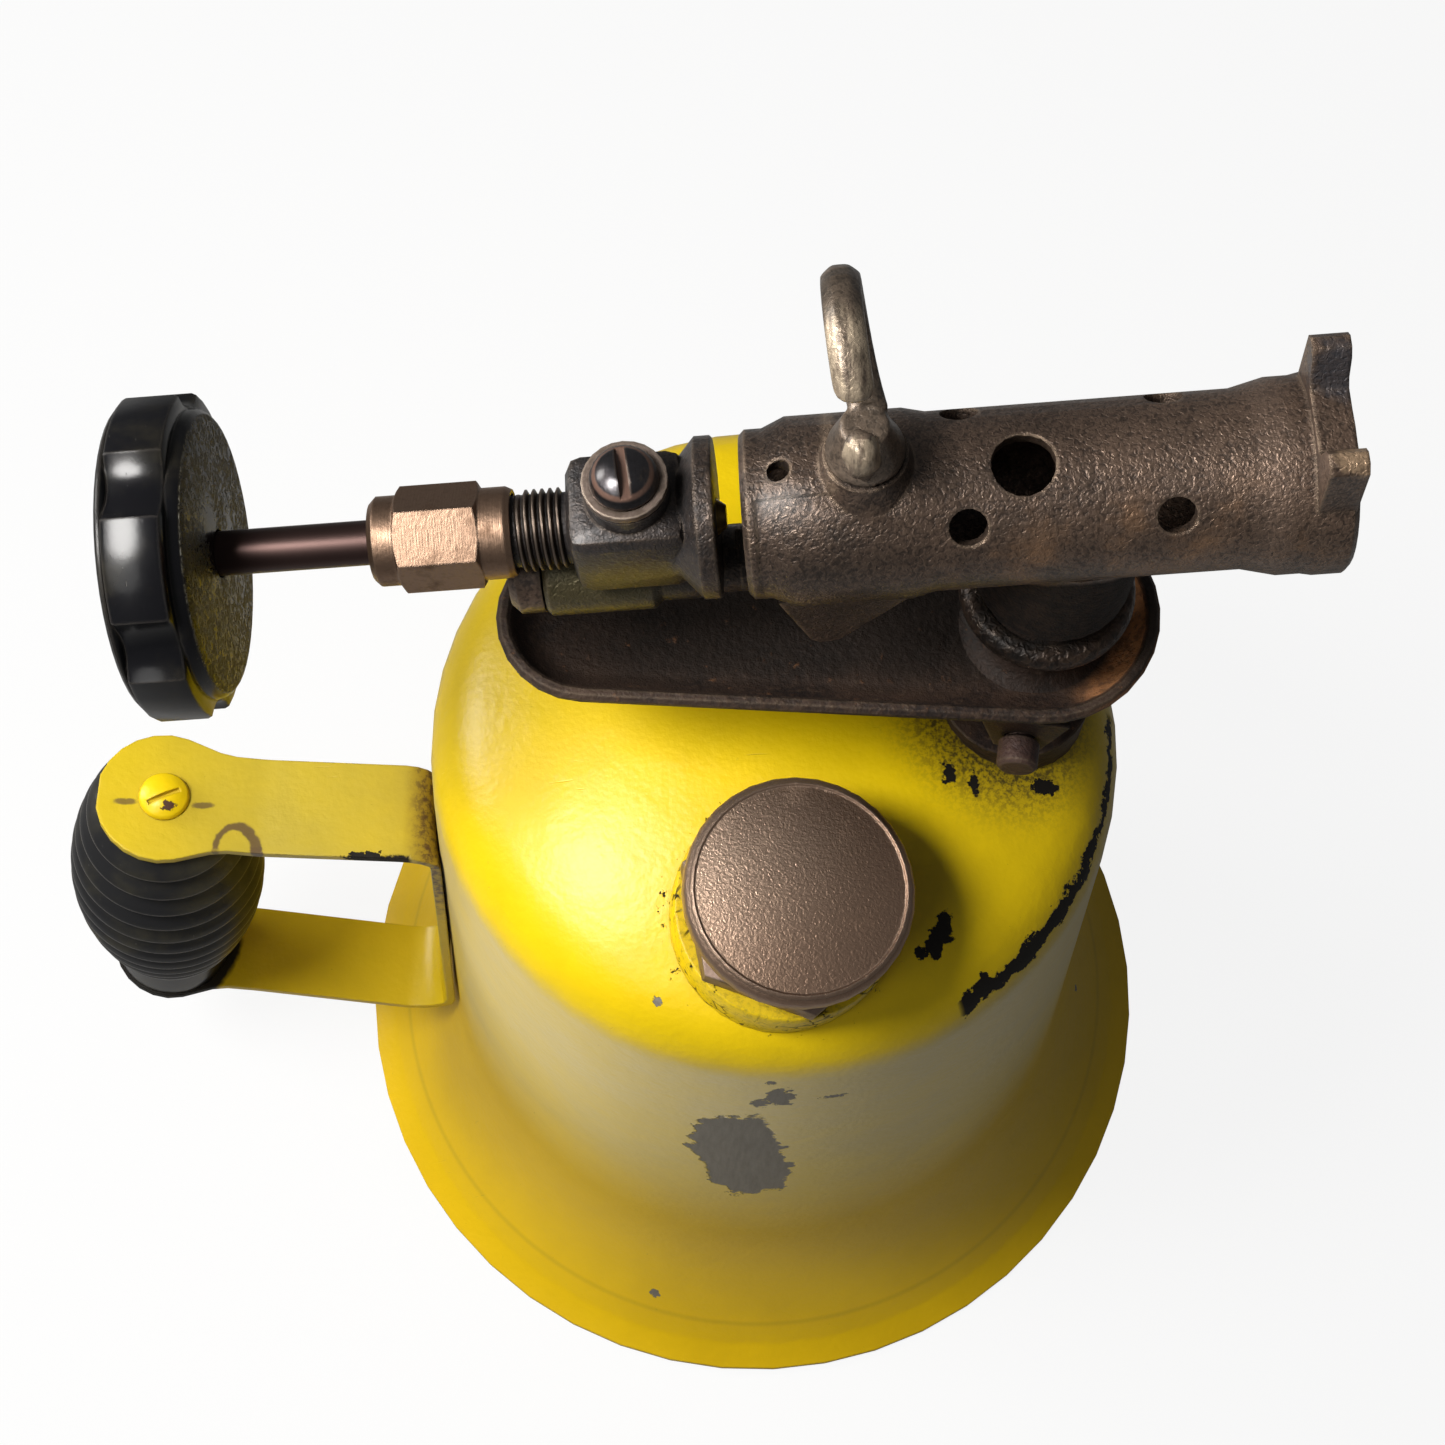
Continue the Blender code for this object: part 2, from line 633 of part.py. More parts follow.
def build_bottom(stand):
    """Build the dished bottom with its filler bush, gasket and plug."""
    edge = bottom_edge_radius()
    bush_radius = BUSH_BORE_RADIUS + BUSH_WALL
    hole = bush_radius + SEAT_GAP
    span = edge - BOTTOM_CORNER_RADIUS - hole
    radii = [hole + span * i / BOTTOM_STEPS for i in range(BOTTOM_STEPS + 1)]
    lower = [(r, bottom_height(r)) for r in radii]
    upper = [(r, bottom_height(r) + BOTTOM_THICKNESS) for r in reversed(radii)]
    corner = [(edge, bottom_height(edge) + BOTTOM_CORNER_RADIUS)]
    top = WALL_FOOT_HEIGHT + BOTTOM_FLANGE_HEIGHT
    flange = [(edge, top), (edge - BOTTOM_THICKNESS, top)]
    outline = lower + corner + flange + upper
    mesh = lathe("tank_bottom", outline, TANK_SEGMENTS, closed=True)
    piece("tank_bottom", mesh, TINNED_SHEET, stand)
    seat = bottom_height(hole) + BOTTOM_THICKNESS + SEAT_GAP
    foot = bottom_height(hole) - BUSH_DROP
    bush = [
        (BUSH_BORE_RADIUS, foot), (bush_radius, foot), (bush_radius, seat),
        (bush_radius + BUSH_FLANGE_WIDTH, seat),
        (bush_radius + BUSH_FLANGE_WIDTH, seat + BUSH_FLANGE_THICKNESS),
        (BUSH_BORE_RADIUS, seat + BUSH_FLANGE_THICKNESS),
    ]
    mesh = lathe("filler_bush", bush, MEDIUM_SEGMENTS, closed=True)
    piece("filler_bush", mesh, YELLOW_BRASS, stand)
    gasket_top = foot - SEAT_GAP
    gasket_foot = gasket_top - FILLER_GASKET_THICKNESS
    gasket = tube(
        "filler_gasket", BUSH_BORE_RADIUS + SEAT_GAP, bush_radius - SEAT_GAP + FILLER_GASKET_OVERLAP,
        gasket_foot, gasket_top, MEDIUM_SEGMENTS,
    )
    piece("filler_gasket", gasket, LEATHER, stand)
    seat_height = gasket_foot - SEAT_GAP
    carrier = empty("filler_line", stand, (0, 0, seat_height))
    plug = hexagon("filler_plug", FILLER_HEX_FLATS, -FILLER_HEX_HEIGHT, 0)
    plug_piece = piece("filler_plug", plug, YELLOW_BRASS, carrier)
    drum = chamfer_drum("filler_drum", FILLER_HEX_FLATS, -FILLER_HEX_HEIGHT, 0)
    combine(plug_piece, "INTERSECT", guide("filler_drum", drum, carrier))
    shank = rod(
        "filler_shank", BUSH_BORE_RADIUS - RUNNING_GAP, -FILLER_HEX_HEIGHT / 2, FILLER_SHANK_LENGTH,
        MEDIUM_SEGMENTS,
    )
    combine(plug_piece, "UNION", guide("filler_shank", shank, carrier))


def pump_neck_radius():
    """Return the outer radius of the pump bung's neck."""
    return pump_bung_bore() + PUMP_BUNG_WALL


def pump_bung_bore():
    """Return the bore radius of the pump bung, which clears the cap's skirt."""
    return barrel_clear_radius() + PUMP_CAP_SKIRT_WALL + SEAT_GAP


def barrel_clear_radius():
    """Return the inner radius of the cap's skirt, which clears the barrel."""
    return BARREL_RADIUS + SEAT_GAP


def riser_neck_radius():
    """Return the outer radius of the riser bung's neck."""
    return RISER_RADIUS + SEAT_GAP + RISER_BUNG_NECK_WALL


def dome_blank(name, stand):
    """Return a solid that fills the tank up to just outside its crown."""
    base = shoulder_centre()[1] - SHOULDER_RADIUS
    outline = dome_outline(SEAT_GAP)
    outline += [(outline[-1][0], base), (0, base)]
    return guide(name, lathe(name, outline, TANK_SEGMENTS), stand)


def build_pump_bung(stand, pump_line):
    """Build the soldered ring that the pump screws into."""
    bore = pump_bung_bore()
    neck = pump_neck_radius()
    top = -SEAT_GAP
    foot = -PUMP_BUNG_DEPTH
    flange = [
        (bore, foot), (PUMP_BUNG_RADIUS + PUMP_BUNG_SLOPE, foot),
        (PUMP_BUNG_RADIUS + PUMP_BUNG_SLOPE, top - PUMP_BUNG_SLOPE * 2),
        (PUMP_BUNG_RADIUS, top), (bore, top),
    ]
    mesh = lathe("pump_bung", flange, LARGE_SEGMENTS, closed=True)
    bung = piece("pump_bung", mesh, YELLOW_PAINT, pump_line)
    combine(bung, "DIFFERENCE", dome_blank("pump_dome", stand))
    neck_mesh = tube("pump_neck", bore, neck, foot, top - PUMP_BUNG_SLOPE * 2, LARGE_SEGMENTS)
    combine(bung, "UNION", guide("pump_neck", neck_mesh, pump_line))


def build_pump_cap(pump_line):
    """Build the hexagonal cap that guides the pump rod."""
    top = PUMP_CAP_HEX_HEIGHT
    mesh = hexagon("pump_cap", PUMP_CAP_FLATS, 0, top, turn=PUMP_CAP_TURN)
    cap = piece("pump_cap", mesh, BROWN_BRONZE, pump_line)
    drum = chamfer_drum("cap_drum", PUMP_CAP_FLATS, 0, top, both=False)
    combine(cap, "INTERSECT", guide("cap_drum", drum, pump_line))
    skirt_outer = barrel_clear_radius() + PUMP_CAP_SKIRT_WALL
    skirt = rod("cap_skirt", skirt_outer, -PUMP_CAP_SKIRT_LENGTH, top / 2, LARGE_SEGMENTS)
    combine(cap, "UNION", guide("cap_skirt", skirt, pump_line))
    hollow = rod(
        "cap_hollow", barrel_clear_radius(), -PUMP_CAP_SKIRT_LENGTH - CUT_OVERRUN,
        top - PUMP_CAP_ROOF, LARGE_SEGMENTS,
    )
    rod_hole = rod("cap_rod_hole", ROD_RADIUS + RUNNING_GAP, -CUT_OVERRUN, top + CUT_OVERRUN, SMALL_SEGMENTS)
    combine(
        cap, "DIFFERENCE",
        guide("cap_hollow", hollow, pump_line),
        guide("cap_rod_hole", rod_hole, pump_line),
    )


def pump_seat():
    """Return the height of the pump cap's seat above the floor."""
    return TANK_HEIGHT - PUMP_SEAT_DROP


def barrel_foot():
    """Return the height of the barrel's lower end on the pump axis."""
    upright = math.cos(PUMP_LEAN_FORWARD) * math.cos(PUMP_LEAN_SIDE)
    depth = (pump_seat() - bottom_crown() - VALVE_FOOT_GAP) / upright
    return VALVE_LENGTH + SEAT_GAP - depth


def build_barrel(pump_line):
    """Build the pump barrel and the check valve at its foot."""
    inner = BARREL_RADIUS - BARREL_WALL
    top = PUMP_CAP_HEX_HEIGHT - PUMP_CAP_ROOF - SEAT_GAP
    foot = barrel_foot()
    nipple_hole = VALVE_NIPPLE_RADIUS + SEAT_GAP
    outline = [
        (nipple_hole, foot), (BARREL_RADIUS, foot), (BARREL_RADIUS, top), (inner, top),
        (inner, foot + BARREL_FLOOR), (nipple_hole, foot + BARREL_FLOOR),
    ]
    mesh = lathe("pump_barrel", outline, LARGE_SEGMENTS, closed=True)
    piece("pump_barrel", mesh, YELLOW_BRASS, pump_line)
    roof = foot - SEAT_GAP
    floor = roof - VALVE_LENGTH
    body = [
        (VALVE_OUTLET_RADIUS, floor), (VALVE_RADIUS, floor), (VALVE_RADIUS, roof),
        (VALVE_NIPPLE_RADIUS, roof), (VALVE_NIPPLE_RADIUS, roof + VALVE_NIPPLE_LENGTH),
        (VALVE_SEAT_RADIUS, roof + VALVE_NIPPLE_LENGTH), (VALVE_SEAT_RADIUS, roof - VALVE_ROOF),
        (VALVE_BORE_RADIUS, roof - VALVE_ROOF), (VALVE_BORE_RADIUS, floor + VALVE_FLOOR),
        (VALVE_OUTLET_RADIUS, floor + VALVE_FLOOR),
    ]
    mesh = lathe("check_valve_body", body, SMALL_SEGMENTS, closed=True)
    piece("check_valve_body", mesh, YELLOW_BRASS, pump_line)
    seat_drop = math.sqrt((BALL_RADIUS + BALL_GAP) ** 2 - VALVE_SEAT_RADIUS**2)
    ball_height = roof - VALVE_ROOF - seat_drop
    side = arc((0, 0), BALL_RADIUS, -BALL_SWEEP, BALL_SWEEP, BALL_STEPS)
    ball = lathe("ball", [(0, -BALL_RADIUS)] + side + [(0, BALL_RADIUS)], SMALL_SEGMENTS)
    piece("check_valve_ball", ball, DARK_STEEL, empty("ball_line", pump_line, (0, 0, ball_height)))
    build_valve_spring(pump_line, floor + VALVE_FLOOR, ball_height)


def build_valve_spring(pump_line, floor, ball_height):
    """Build the coil that holds the ball on its seat."""
    touch = math.sqrt((BALL_RADIUS + SEAT_GAP) ** 2 - SPRING_RADIUS**2)
    low = floor + SPRING_WIRE_RADIUS + SEAT_GAP
    high = ball_height - touch - SPRING_WIRE_RADIUS
    count = SPRING_TURNS * SPRING_POINTS_PER_TURN
    curve = bpy.data.curves.new("check_valve_spring", "CURVE")
    curve.dimensions = "3D"
    curve.bevel_depth = SPRING_WIRE_RADIUS
    curve.bevel_resolution = 1
    curve.use_fill_caps = True
    line = curve.splines.new("POLY")
    line.points.add(count)
    for i, point in enumerate(line.points):
        angle = math.tau * i / SPRING_POINTS_PER_TURN
        height = low + (high - low) * i / count
        point.co = (SPRING_RADIUS * math.cos(angle), SPRING_RADIUS * math.sin(angle), height, 1)
    piece("check_valve_spring", curve, DARK_STEEL, pump_line)


def build_plunger(pump_line):
    """Build the knob, rod, piston, leather cup and nut that slide together."""
    inner = BARREL_RADIUS - BARREL_WALL
    rest = barrel_foot() + BARREL_FLOOR + PISTON_REST_GAP
    cup_top = rest + CUP_DEPTH
    plate_low = cup_top + SEAT_GAP
    plate_high = plate_low + PISTON_THICKNESS
    shoulder = plate_high + SEAT_GAP
    knob_low = PUMP_CAP_HEX_HEIGHT + SEAT_GAP
    knob_plate = knob_low + KNOB_HUB_HEIGHT
    knob_top = knob_plate + KNOB_RIM_THICKNESS
    stud = ROD_RADIUS * ROD_STUD_SHARE
    nut_low = cup_top - CUP_WALL - SEAT_GAP - PISTON_NUT_HEIGHT
    rod_outline = [
        (0, nut_low - ROD_END_LENGTH), (stud, nut_low - ROD_END_LENGTH), (stud, shoulder),
        (ROD_RADIUS, shoulder), (ROD_RADIUS, knob_low + KNOB_SOCKET_DEPTH - SEAT_GAP),
        (0, knob_low + KNOB_SOCKET_DEPTH - SEAT_GAP),
    ]
    piece("pump_rod", lathe("pump_rod", rod_outline, SMALL_SEGMENTS), DARK_STEEL, pump_line)
    plate = tube("piston_plate", stud + SEAT_GAP, inner - CUP_WALL, plate_low, plate_high, MEDIUM_SEGMENTS)
    piece("piston_plate", plate, YELLOW_BRASS, pump_line)
    cup_radius = inner - RUNNING_GAP
    cup = [
        (stud + SEAT_GAP, cup_top - CUP_WALL), (cup_radius - CUP_WALL, cup_top - CUP_WALL),
        (cup_radius - CUP_WALL, rest), (cup_radius, rest),
        (cup_radius, cup_top - CUP_WALL), (cup_radius - CUP_WALL, cup_top), (stud + SEAT_GAP, cup_top),
    ]
    piece("piston_cup", lathe("piston_cup", cup, LARGE_SEGMENTS, closed=True), LEATHER, pump_line)
    nut = hexagon("piston_nut", PISTON_NUT_FLATS, nut_low, nut_low + PISTON_NUT_HEIGHT)
    nut_object = piece("piston_nut", nut, YELLOW_BRASS, pump_line)
    hole = rod("piston_nut_hole", stud + SEAT_GAP, nut_low - CUT_OVERRUN, cup_top, SMALL_SEGMENTS)
    combine(nut_object, "DIFFERENCE", guide("piston_nut_hole", hole, pump_line))
    edge = KNOB_EDGE_RADIUS
    ridge_low = KNOB_RIDGE_RADIUS - KNOB_RIDGE_WIDTH / 2
    ridge_high = KNOB_RIDGE_RADIUS + KNOB_RIDGE_WIDTH / 2
    knob = [(0, knob_low + KNOB_SOCKET_DEPTH), (ROD_RADIUS + SEAT_GAP, knob_low + KNOB_SOCKET_DEPTH)]
    knob += [(ROD_RADIUS + SEAT_GAP, knob_low), (KNOB_HUB_RADIUS, knob_low), (KNOB_HUB_RADIUS, knob_plate)]
    knob += arc((KNOB_RADIUS - edge, knob_plate + edge), edge, -90, 0, KNOB_EDGE_STEPS)
    knob += arc((KNOB_RADIUS - edge, knob_top - edge), edge, 0, KNOB_EDGE_SWEEP, KNOB_EDGE_STEPS)
    knob += [
        (ridge_high, knob_top), (KNOB_RIDGE_RADIUS, knob_top + KNOB_RIDGE_HEIGHT),
        (ridge_low, knob_top), (0, knob_top + KNOB_CROWN),
    ]
    piece("pump_knob", lathe("pump_knob", knob, LARGE_SEGMENTS), BROWN_BRONZE, pump_line)


def build_riser(stand, riser_line):
    """Build the riser's bung, the pipe, the pick-up tube and its wick."""
    bore = RISER_RADIUS + SEAT_GAP
    high = TANK_HEIGHT - RISER_BUNG_SINK
    low = high - RISER_BUNG_DEPTH
    mesh = tube("riser_bung", bore, RISER_BUNG_RADIUS, low, high, MEDIUM_SEGMENTS)
    bung = piece("riser_bung", mesh, RUSTY_IRON, riser_line)
    combine(bung, "DIFFERENCE", dome_blank("riser_dome", stand))
    neck = tube("riser_neck", bore, riser_neck_radius(), low, high - SEAT_GAP, MEDIUM_SEGMENTS)
    combine(bung, "UNION", guide("riser_neck", neck, riser_line))
    top = socket_top() - SEAT_GAP
    foot = TANK_HEIGHT - RISER_BELOW_CROWN
    inner = RISER_RADIUS - RISER_WALL
    pipe = tube("riser_pipe", inner, RISER_RADIUS, foot, top, MEDIUM_SEGMENTS)
    piece("riser_pipe", pipe, DARK_STEEL, riser_line)
    outer = inner - SEAT_GAP
    pickup_foot = bottom_crown() + PICKUP_FOOT_GAP
    pickup_top = top - PICKUP_TOP_DROP
    pickup = tube(
        "pickup_tube", outer - PICKUP_WALL, outer, pickup_foot, pickup_top, SMALL_SEGMENTS
    )
    piece("pickup_tube", pickup, YELLOW_BRASS, riser_line)
    wick = rod(
        "fuel_wick", outer - PICKUP_WALL - SEAT_GAP, pickup_foot - WICK_DROP, pickup_top - WICK_TOP_DROP,
        TINY_SEGMENTS,
    )
    piece("fuel_wick", wick, COTTON, riser_line)


def collar_foot():
    """Return the height of the lower face of the burner's collar."""
    return burner_height() - BOSS_DROP - BOSS_NECK_LENGTH - COLLAR_HEIGHT


def socket_top():
    """Return the height of the roof of the riser's socket in the burner."""
    return burner_height() - PASSAGE_DROP - SOCKET_BELOW_PASSAGE


def tray_ring(inset, height):
    """Return one ring of the tray: two unlike circles in a common tangent outline."""
    lean = math.acos((TRAY_BIG_RADIUS - TRAY_SMALL_RADIUS) / TRAY_CENTRE_DISTANCE)
    ring = []
    for i in range(TRAY_BIG_STEPS + 1):
        angle = -(math.pi - lean) + 2 * (math.pi - lean) * i / TRAY_BIG_STEPS
        radius = TRAY_BIG_RADIUS - inset
        ring.append((radius * math.cos(angle), radius * math.sin(angle), height))
    for i in range(TRAY_SMALL_STEPS + 1):
        angle = math.pi - lean + 2 * lean * i / TRAY_SMALL_STEPS
        radius = TRAY_SMALL_RADIUS - inset
        across = radius * math.cos(angle) - TRAY_CENTRE_DISTANCE
        ring.append((across, radius * math.sin(angle), height))
    return ring


def build_tray(riser_line):
    """Build the cast drip tray with its rolled rim, hub and lug, and the set screw."""
    line = empty("tray_line", riser_line, (0, 0, TANK_HEIGHT + TRAY_ABOVE_CROWN), (0, 0, TRAY_TURN))
    bead = TRAY_BEAD_RADIUS
    wall_top = -2 * bead
    floor = -TRAY_DEPTH + TRAY_WALL
    slope = bead * 2 + TRAY_SLOPE_WIDTH
    rings = [tray_ring(slope + TRAY_WALL, -TRAY_DEPTH)]
    rings.append(tray_ring(bead + TRAY_WALL / 2, -TRAY_DEPTH + TRAY_WALL))
    rings.append(tray_ring(bead * TRAY_BEAD_ROOT_SHARE, wall_top))
    for i in range(TRAY_BEAD_STEPS + 1):
        angle = math.radians(TRAY_BEAD_START - TRAY_BEAD_SWEEP * i / TRAY_BEAD_STEPS)
        rings.append(tray_ring(bead + bead * math.cos(angle), -bead + bead * math.sin(angle)))
    rings.append(tray_ring(bead * 2 + TRAY_WALL / 2, wall_top - TRAY_WALL / 2))
    rings.append(tray_ring(slope, floor + TRAY_WALL / 2))
    rings.append(tray_ring(slope + TRAY_WALL, floor))
    tray = piece("drip_tray", loft("drip_tray", rings), RUSTY_IRON, line)
    hub_foot = -TRAY_DEPTH - TRAY_HUB_HEIGHT
    hub = rod("tray_hub", TRAY_HUB_RADIUS, hub_foot, -TRAY_DEPTH + TRAY_WALL / 2, MEDIUM_SEGMENTS)
    lug_top = -TRAY_DEPTH + TRAY_WALL / 2
    lug_outline = [
        (-LUG_TOP_WIDTH / 2, lug_top), (-LUG_FOOT_WIDTH / 2, hub_foot), (LUG_FOOT_WIDTH / 2, hub_foot),
        (LUG_TOP_WIDTH / 2, lug_top),
    ]
    lug_frame = empty("lug_line", line, (0, 0, 0), (math.pi / 2, 0, LUG_TURN))
    lug = prism("tray_lug", lug_outline, 0, LUG_REACH)
    combine(tray, "UNION", guide("tray_hub", hub, line), guide("tray_lug", lug, lug_frame))
    pipe_hole = rod(
        "tray_pipe_hole", RISER_RADIUS + SEAT_GAP, hub_foot - CUT_OVERRUN, CUT_OVERRUN, MEDIUM_SEGMENTS
    )
    screw_height = hub_foot + SET_SCREW_RISE
    screw_clear = SET_SCREW_RADIUS + SEAT_GAP
    screw_hole = rod("tray_screw_hole", screw_clear, 0, LUG_REACH + CUT_OVERRUN, TINY_SEGMENTS)
    combine(
        tray, "DIFFERENCE",
        guide("tray_pipe_hole", pipe_hole, line),
        guide("tray_screw_hole", screw_hole, lug_frame, (0, screw_height, 0)),
    )
    tip = RISER_RADIUS + SEAT_GAP
    head = LUG_REACH + SEAT_GAP
    edge = SET_SCREW_RADIUS / 4
    outline = [
        (0, tip), (SET_SCREW_RADIUS, tip), (SET_SCREW_RADIUS, head), (SET_SCREW_HEAD_RADIUS - edge, head),
        (SET_SCREW_HEAD_RADIUS, head + edge), (SET_SCREW_HEAD_RADIUS, head + SET_SCREW_HEAD_LENGTH - edge),
        (SET_SCREW_HEAD_RADIUS - edge, head + SET_SCREW_HEAD_LENGTH), (0, head + SET_SCREW_HEAD_LENGTH),
    ]
    mesh = lathe("tray_set_screw", outline, SMALL_SEGMENTS)
    piece("tray_set_screw", mesh, RUSTY_IRON, lug_frame, (0, screw_height, 0))


TUBE_START = -RISER_FROM_TUBE_START
FLANGE_END = TUBE_START - SLOT_WIDTH
FLANGE_START = FLANGE_END - FLANGE_THICKNESS
BLOCK_END = FLANGE_START - FLANGE_NECK_LENGTH
BLOCK_START = BLOCK_END - BLOCK_LENGTH
NUT_END = BLOCK_START - THREAD_SHOWN_LENGTH
NUT_START = NUT_END - NUT_SKIRT_LENGTH - NUT_HEX_LENGTH - NUT_NOSE_LENGTH
WHEEL_FACE = NUT_START - STEM_REACH
TUBE_END = TUBE_START + TUBE_LENGTH
ALONG = (0, math.pi / 2, 0)


def rounded_block(name, low, high, edge, parent):
    """Add a guide block between two corners with bevelled edges."""
    low = Vector(low)
    high = Vector(high)
    bm = bmesh.new()
    bmesh.ops.create_cube(bm, size=1.0)
    size = high - low
    bmesh.ops.scale(bm, vec=size, verts=bm.verts)
    bmesh.ops.translate(bm, vec=(low + high) / 2, verts=bm.verts)
    made = guide(name, mesh_from(name, bm), parent)
    ease = made.modifiers.new("edge", "BEVEL")
    ease.width = edge
    ease.segments = 2
    return made


def build_casting(burner_line, riser_line):
    """Build the burner casting: one body of tube, flange, block, passage and riser boss."""
    front = TUBE_START + TUBE_REAR_LENGTH
    step = TUBE_END - MUZZLE_LENGTH
    lip = TUBE_END - MUZZLE_LIP_LENGTH
    edge = TUBE_RIM_LENGTH / 4
    outline = [
        (0, TUBE_START), (TUBE_RIM_RADIUS - edge, TUBE_START), (TUBE_RIM_RADIUS, TUBE_START + edge),
        (TUBE_RIM_RADIUS, TUBE_START + TUBE_RIM_LENGTH),
        (TUBE_REAR_RADIUS, TUBE_START + TUBE_RIM_LENGTH * 2), (TUBE_REAR_RADIUS, front),
        (TUBE_RADIUS, front + TUBE_RIM_LENGTH), (TUBE_RADIUS, step),
        (MUZZLE_RADIUS, step + MUZZLE_STEP_LENGTH), (MUZZLE_RADIUS, lip - edge),
        (MUZZLE_LIP_RADIUS, lip + edge), (MUZZLE_LIP_RADIUS, TUBE_END - edge),
        (MUZZLE_LIP_RADIUS - edge, TUBE_END), (0, TUBE_END),
    ]
    mesh = lathe("burner_casting", outline, LARGE_SEGMENTS)
    casting = piece("burner_casting", mesh, CAST_BRONZE, burner_line, rotation=ALONG)
    parts = [saddle(burner_line), hook_pad(burner_line), fin(burner_line)]
    parts += [riser_boss(riser_line), lower_passage(burner_line)]
    parts += valve_block(burner_line)
    combine(casting, "UNION", *parts)
    combine(casting, "DIFFERENCE", *casting_cuts(burner_line, riser_line))


def saddle(burner_line):
    """Return the soldering iron rest on top of the muzzle."""
    low = TUBE_END - MUZZLE_LIP_LENGTH
    half = SADDLE_HALF_WIDTH
    notch = SADDLE_NOTCH_HALF_WIDTH
    floor = SADDLE_HEIGHT - SADDLE_NOTCH_DEPTH
    edge = SADDLE_EDGE
    right = [
        (0, floor), (notch - edge, floor), (notch, floor + edge), (notch + edge, SADDLE_HEIGHT - edge),
        (notch + 2 * edge, SADDLE_HEIGHT), (half - edge, SADDLE_HEIGHT), (half, SADDLE_HEIGHT - edge),
        (half, 0),
    ]
    left = [(-y, height) for y, height in reversed(right[1:])]
    mesh = prism("saddle", right + left, low, TUBE_END - edge / 2)
    return guide("saddle", mesh, burner_line, rotation=(math.pi / 2, 0, math.pi / 2))


def hook_place():
    """Return the place of the hook along the burner axis."""
    return TUBE_START + HOOK_FROM_TUBE_START


def hook_pad(burner_line):
    """Return the raised pad under the hook."""
    outline = [
        (0, TUBE_BORE_RADIUS), (HOOK_PAD_RADIUS * HOOK_PAD_FOOT_SHARE, TUBE_BORE_RADIUS),
        (HOOK_PAD_RADIUS, TUBE_REAR_RADIUS + (HOOK_PAD_HEIGHT - TUBE_REAR_RADIUS) / 2),
        (HOOK_PAD_RADIUS, HOOK_PAD_HEIGHT), (0, HOOK_PAD_HEIGHT),
    ]
    mesh = lathe("hook_pad", outline, MEDIUM_SEGMENTS)
    return guide("hook_pad", mesh, burner_line, (hook_place(), 0, 0))


def fin(burner_line):
    """Return the three cornered fin that hangs from the front of the tube."""
    start = TUBE_START + FIN_START
    end = start + FIN_LENGTH
    tip = start + FIN_LENGTH * FIN_TIP_SHARE
    ease = FIN_THICKNESS / 2
    outline = [
        (start, -FIN_ROOT_DROP), (tip - ease, -FIN_DROP + ease), (tip, -FIN_DROP),
        (tip + FIN_THICKNESS, -FIN_DROP + ease / 2), (end, -FIN_ROOT_DROP),
    ]
    mesh = prism("fin", outline, FIN_OFFSET - FIN_THICKNESS / 2, FIN_OFFSET + FIN_THICKNESS / 2)
    return guide("fin", mesh, burner_line, rotation=(math.pi / 2, 0, 0))


def riser_boss(riser_line):
    """Return the upright boss, neck and collar that sit on the riser."""
    low = collar_foot()
    neck_low = low + COLLAR_HEIGHT
    top = burner_height() - TUBE_BORE_RADIUS / 2
    boss_foot = burner_height() - BOSS_DROP
    outline = [
        (0, low), (COLLAR_RADIUS - COLLAR_EDGE, low), (COLLAR_RADIUS, low + COLLAR_EDGE),
        (COLLAR_RADIUS, neck_low - COLLAR_EDGE), (BOSS_NECK_RADIUS, neck_low),
        (BOSS_NECK_RADIUS, boss_foot), (BOSS_RADIUS - BOSS_EDGE, boss_foot),
        (BOSS_RADIUS, boss_foot + BOSS_EDGE), (BOSS_RADIUS, top), (0, top),
    ]
    return guide("riser_boss", lathe("riser_boss", outline, MEDIUM_SEGMENTS), riser_line)


def lower_passage(burner_line):
    """Return the passage that runs under the tube back to the valve block."""
    start = lower_barrel_start()
    end = start + LOWER_BARREL_LENGTH
    edge = PLUG_EDGE / 2
    neck_end = BLOCK_END
    outline = [
        (0, start), (LOWER_BARREL_RADIUS - edge, start), (LOWER_BARREL_RADIUS, start + edge),
        (LOWER_BARREL_RADIUS, end - edge), (LOWER_NECK_RADIUS, end + edge), (LOWER_NECK_RADIUS, neck_end),
        (PASSAGE_RADIUS, FLANGE_END), (PASSAGE_RADIUS, 0), (0, 0),
    ]
    mesh = lathe("lower_passage", outline, MEDIUM_SEGMENTS)
    return guide("lower_passage", mesh, burner_line, (0, 0, -PASSAGE_DROP), ALONG)


def lower_barrel_start():
    """Return the left end of the lower barrel along the burner axis."""
    return BLOCK_START - LOWER_BARREL_START


def cleanout_place():
    """Return the place of the clean-out screw along the burner axis."""
    return BLOCK_START + CLEANOUT_FROM_BLOCK


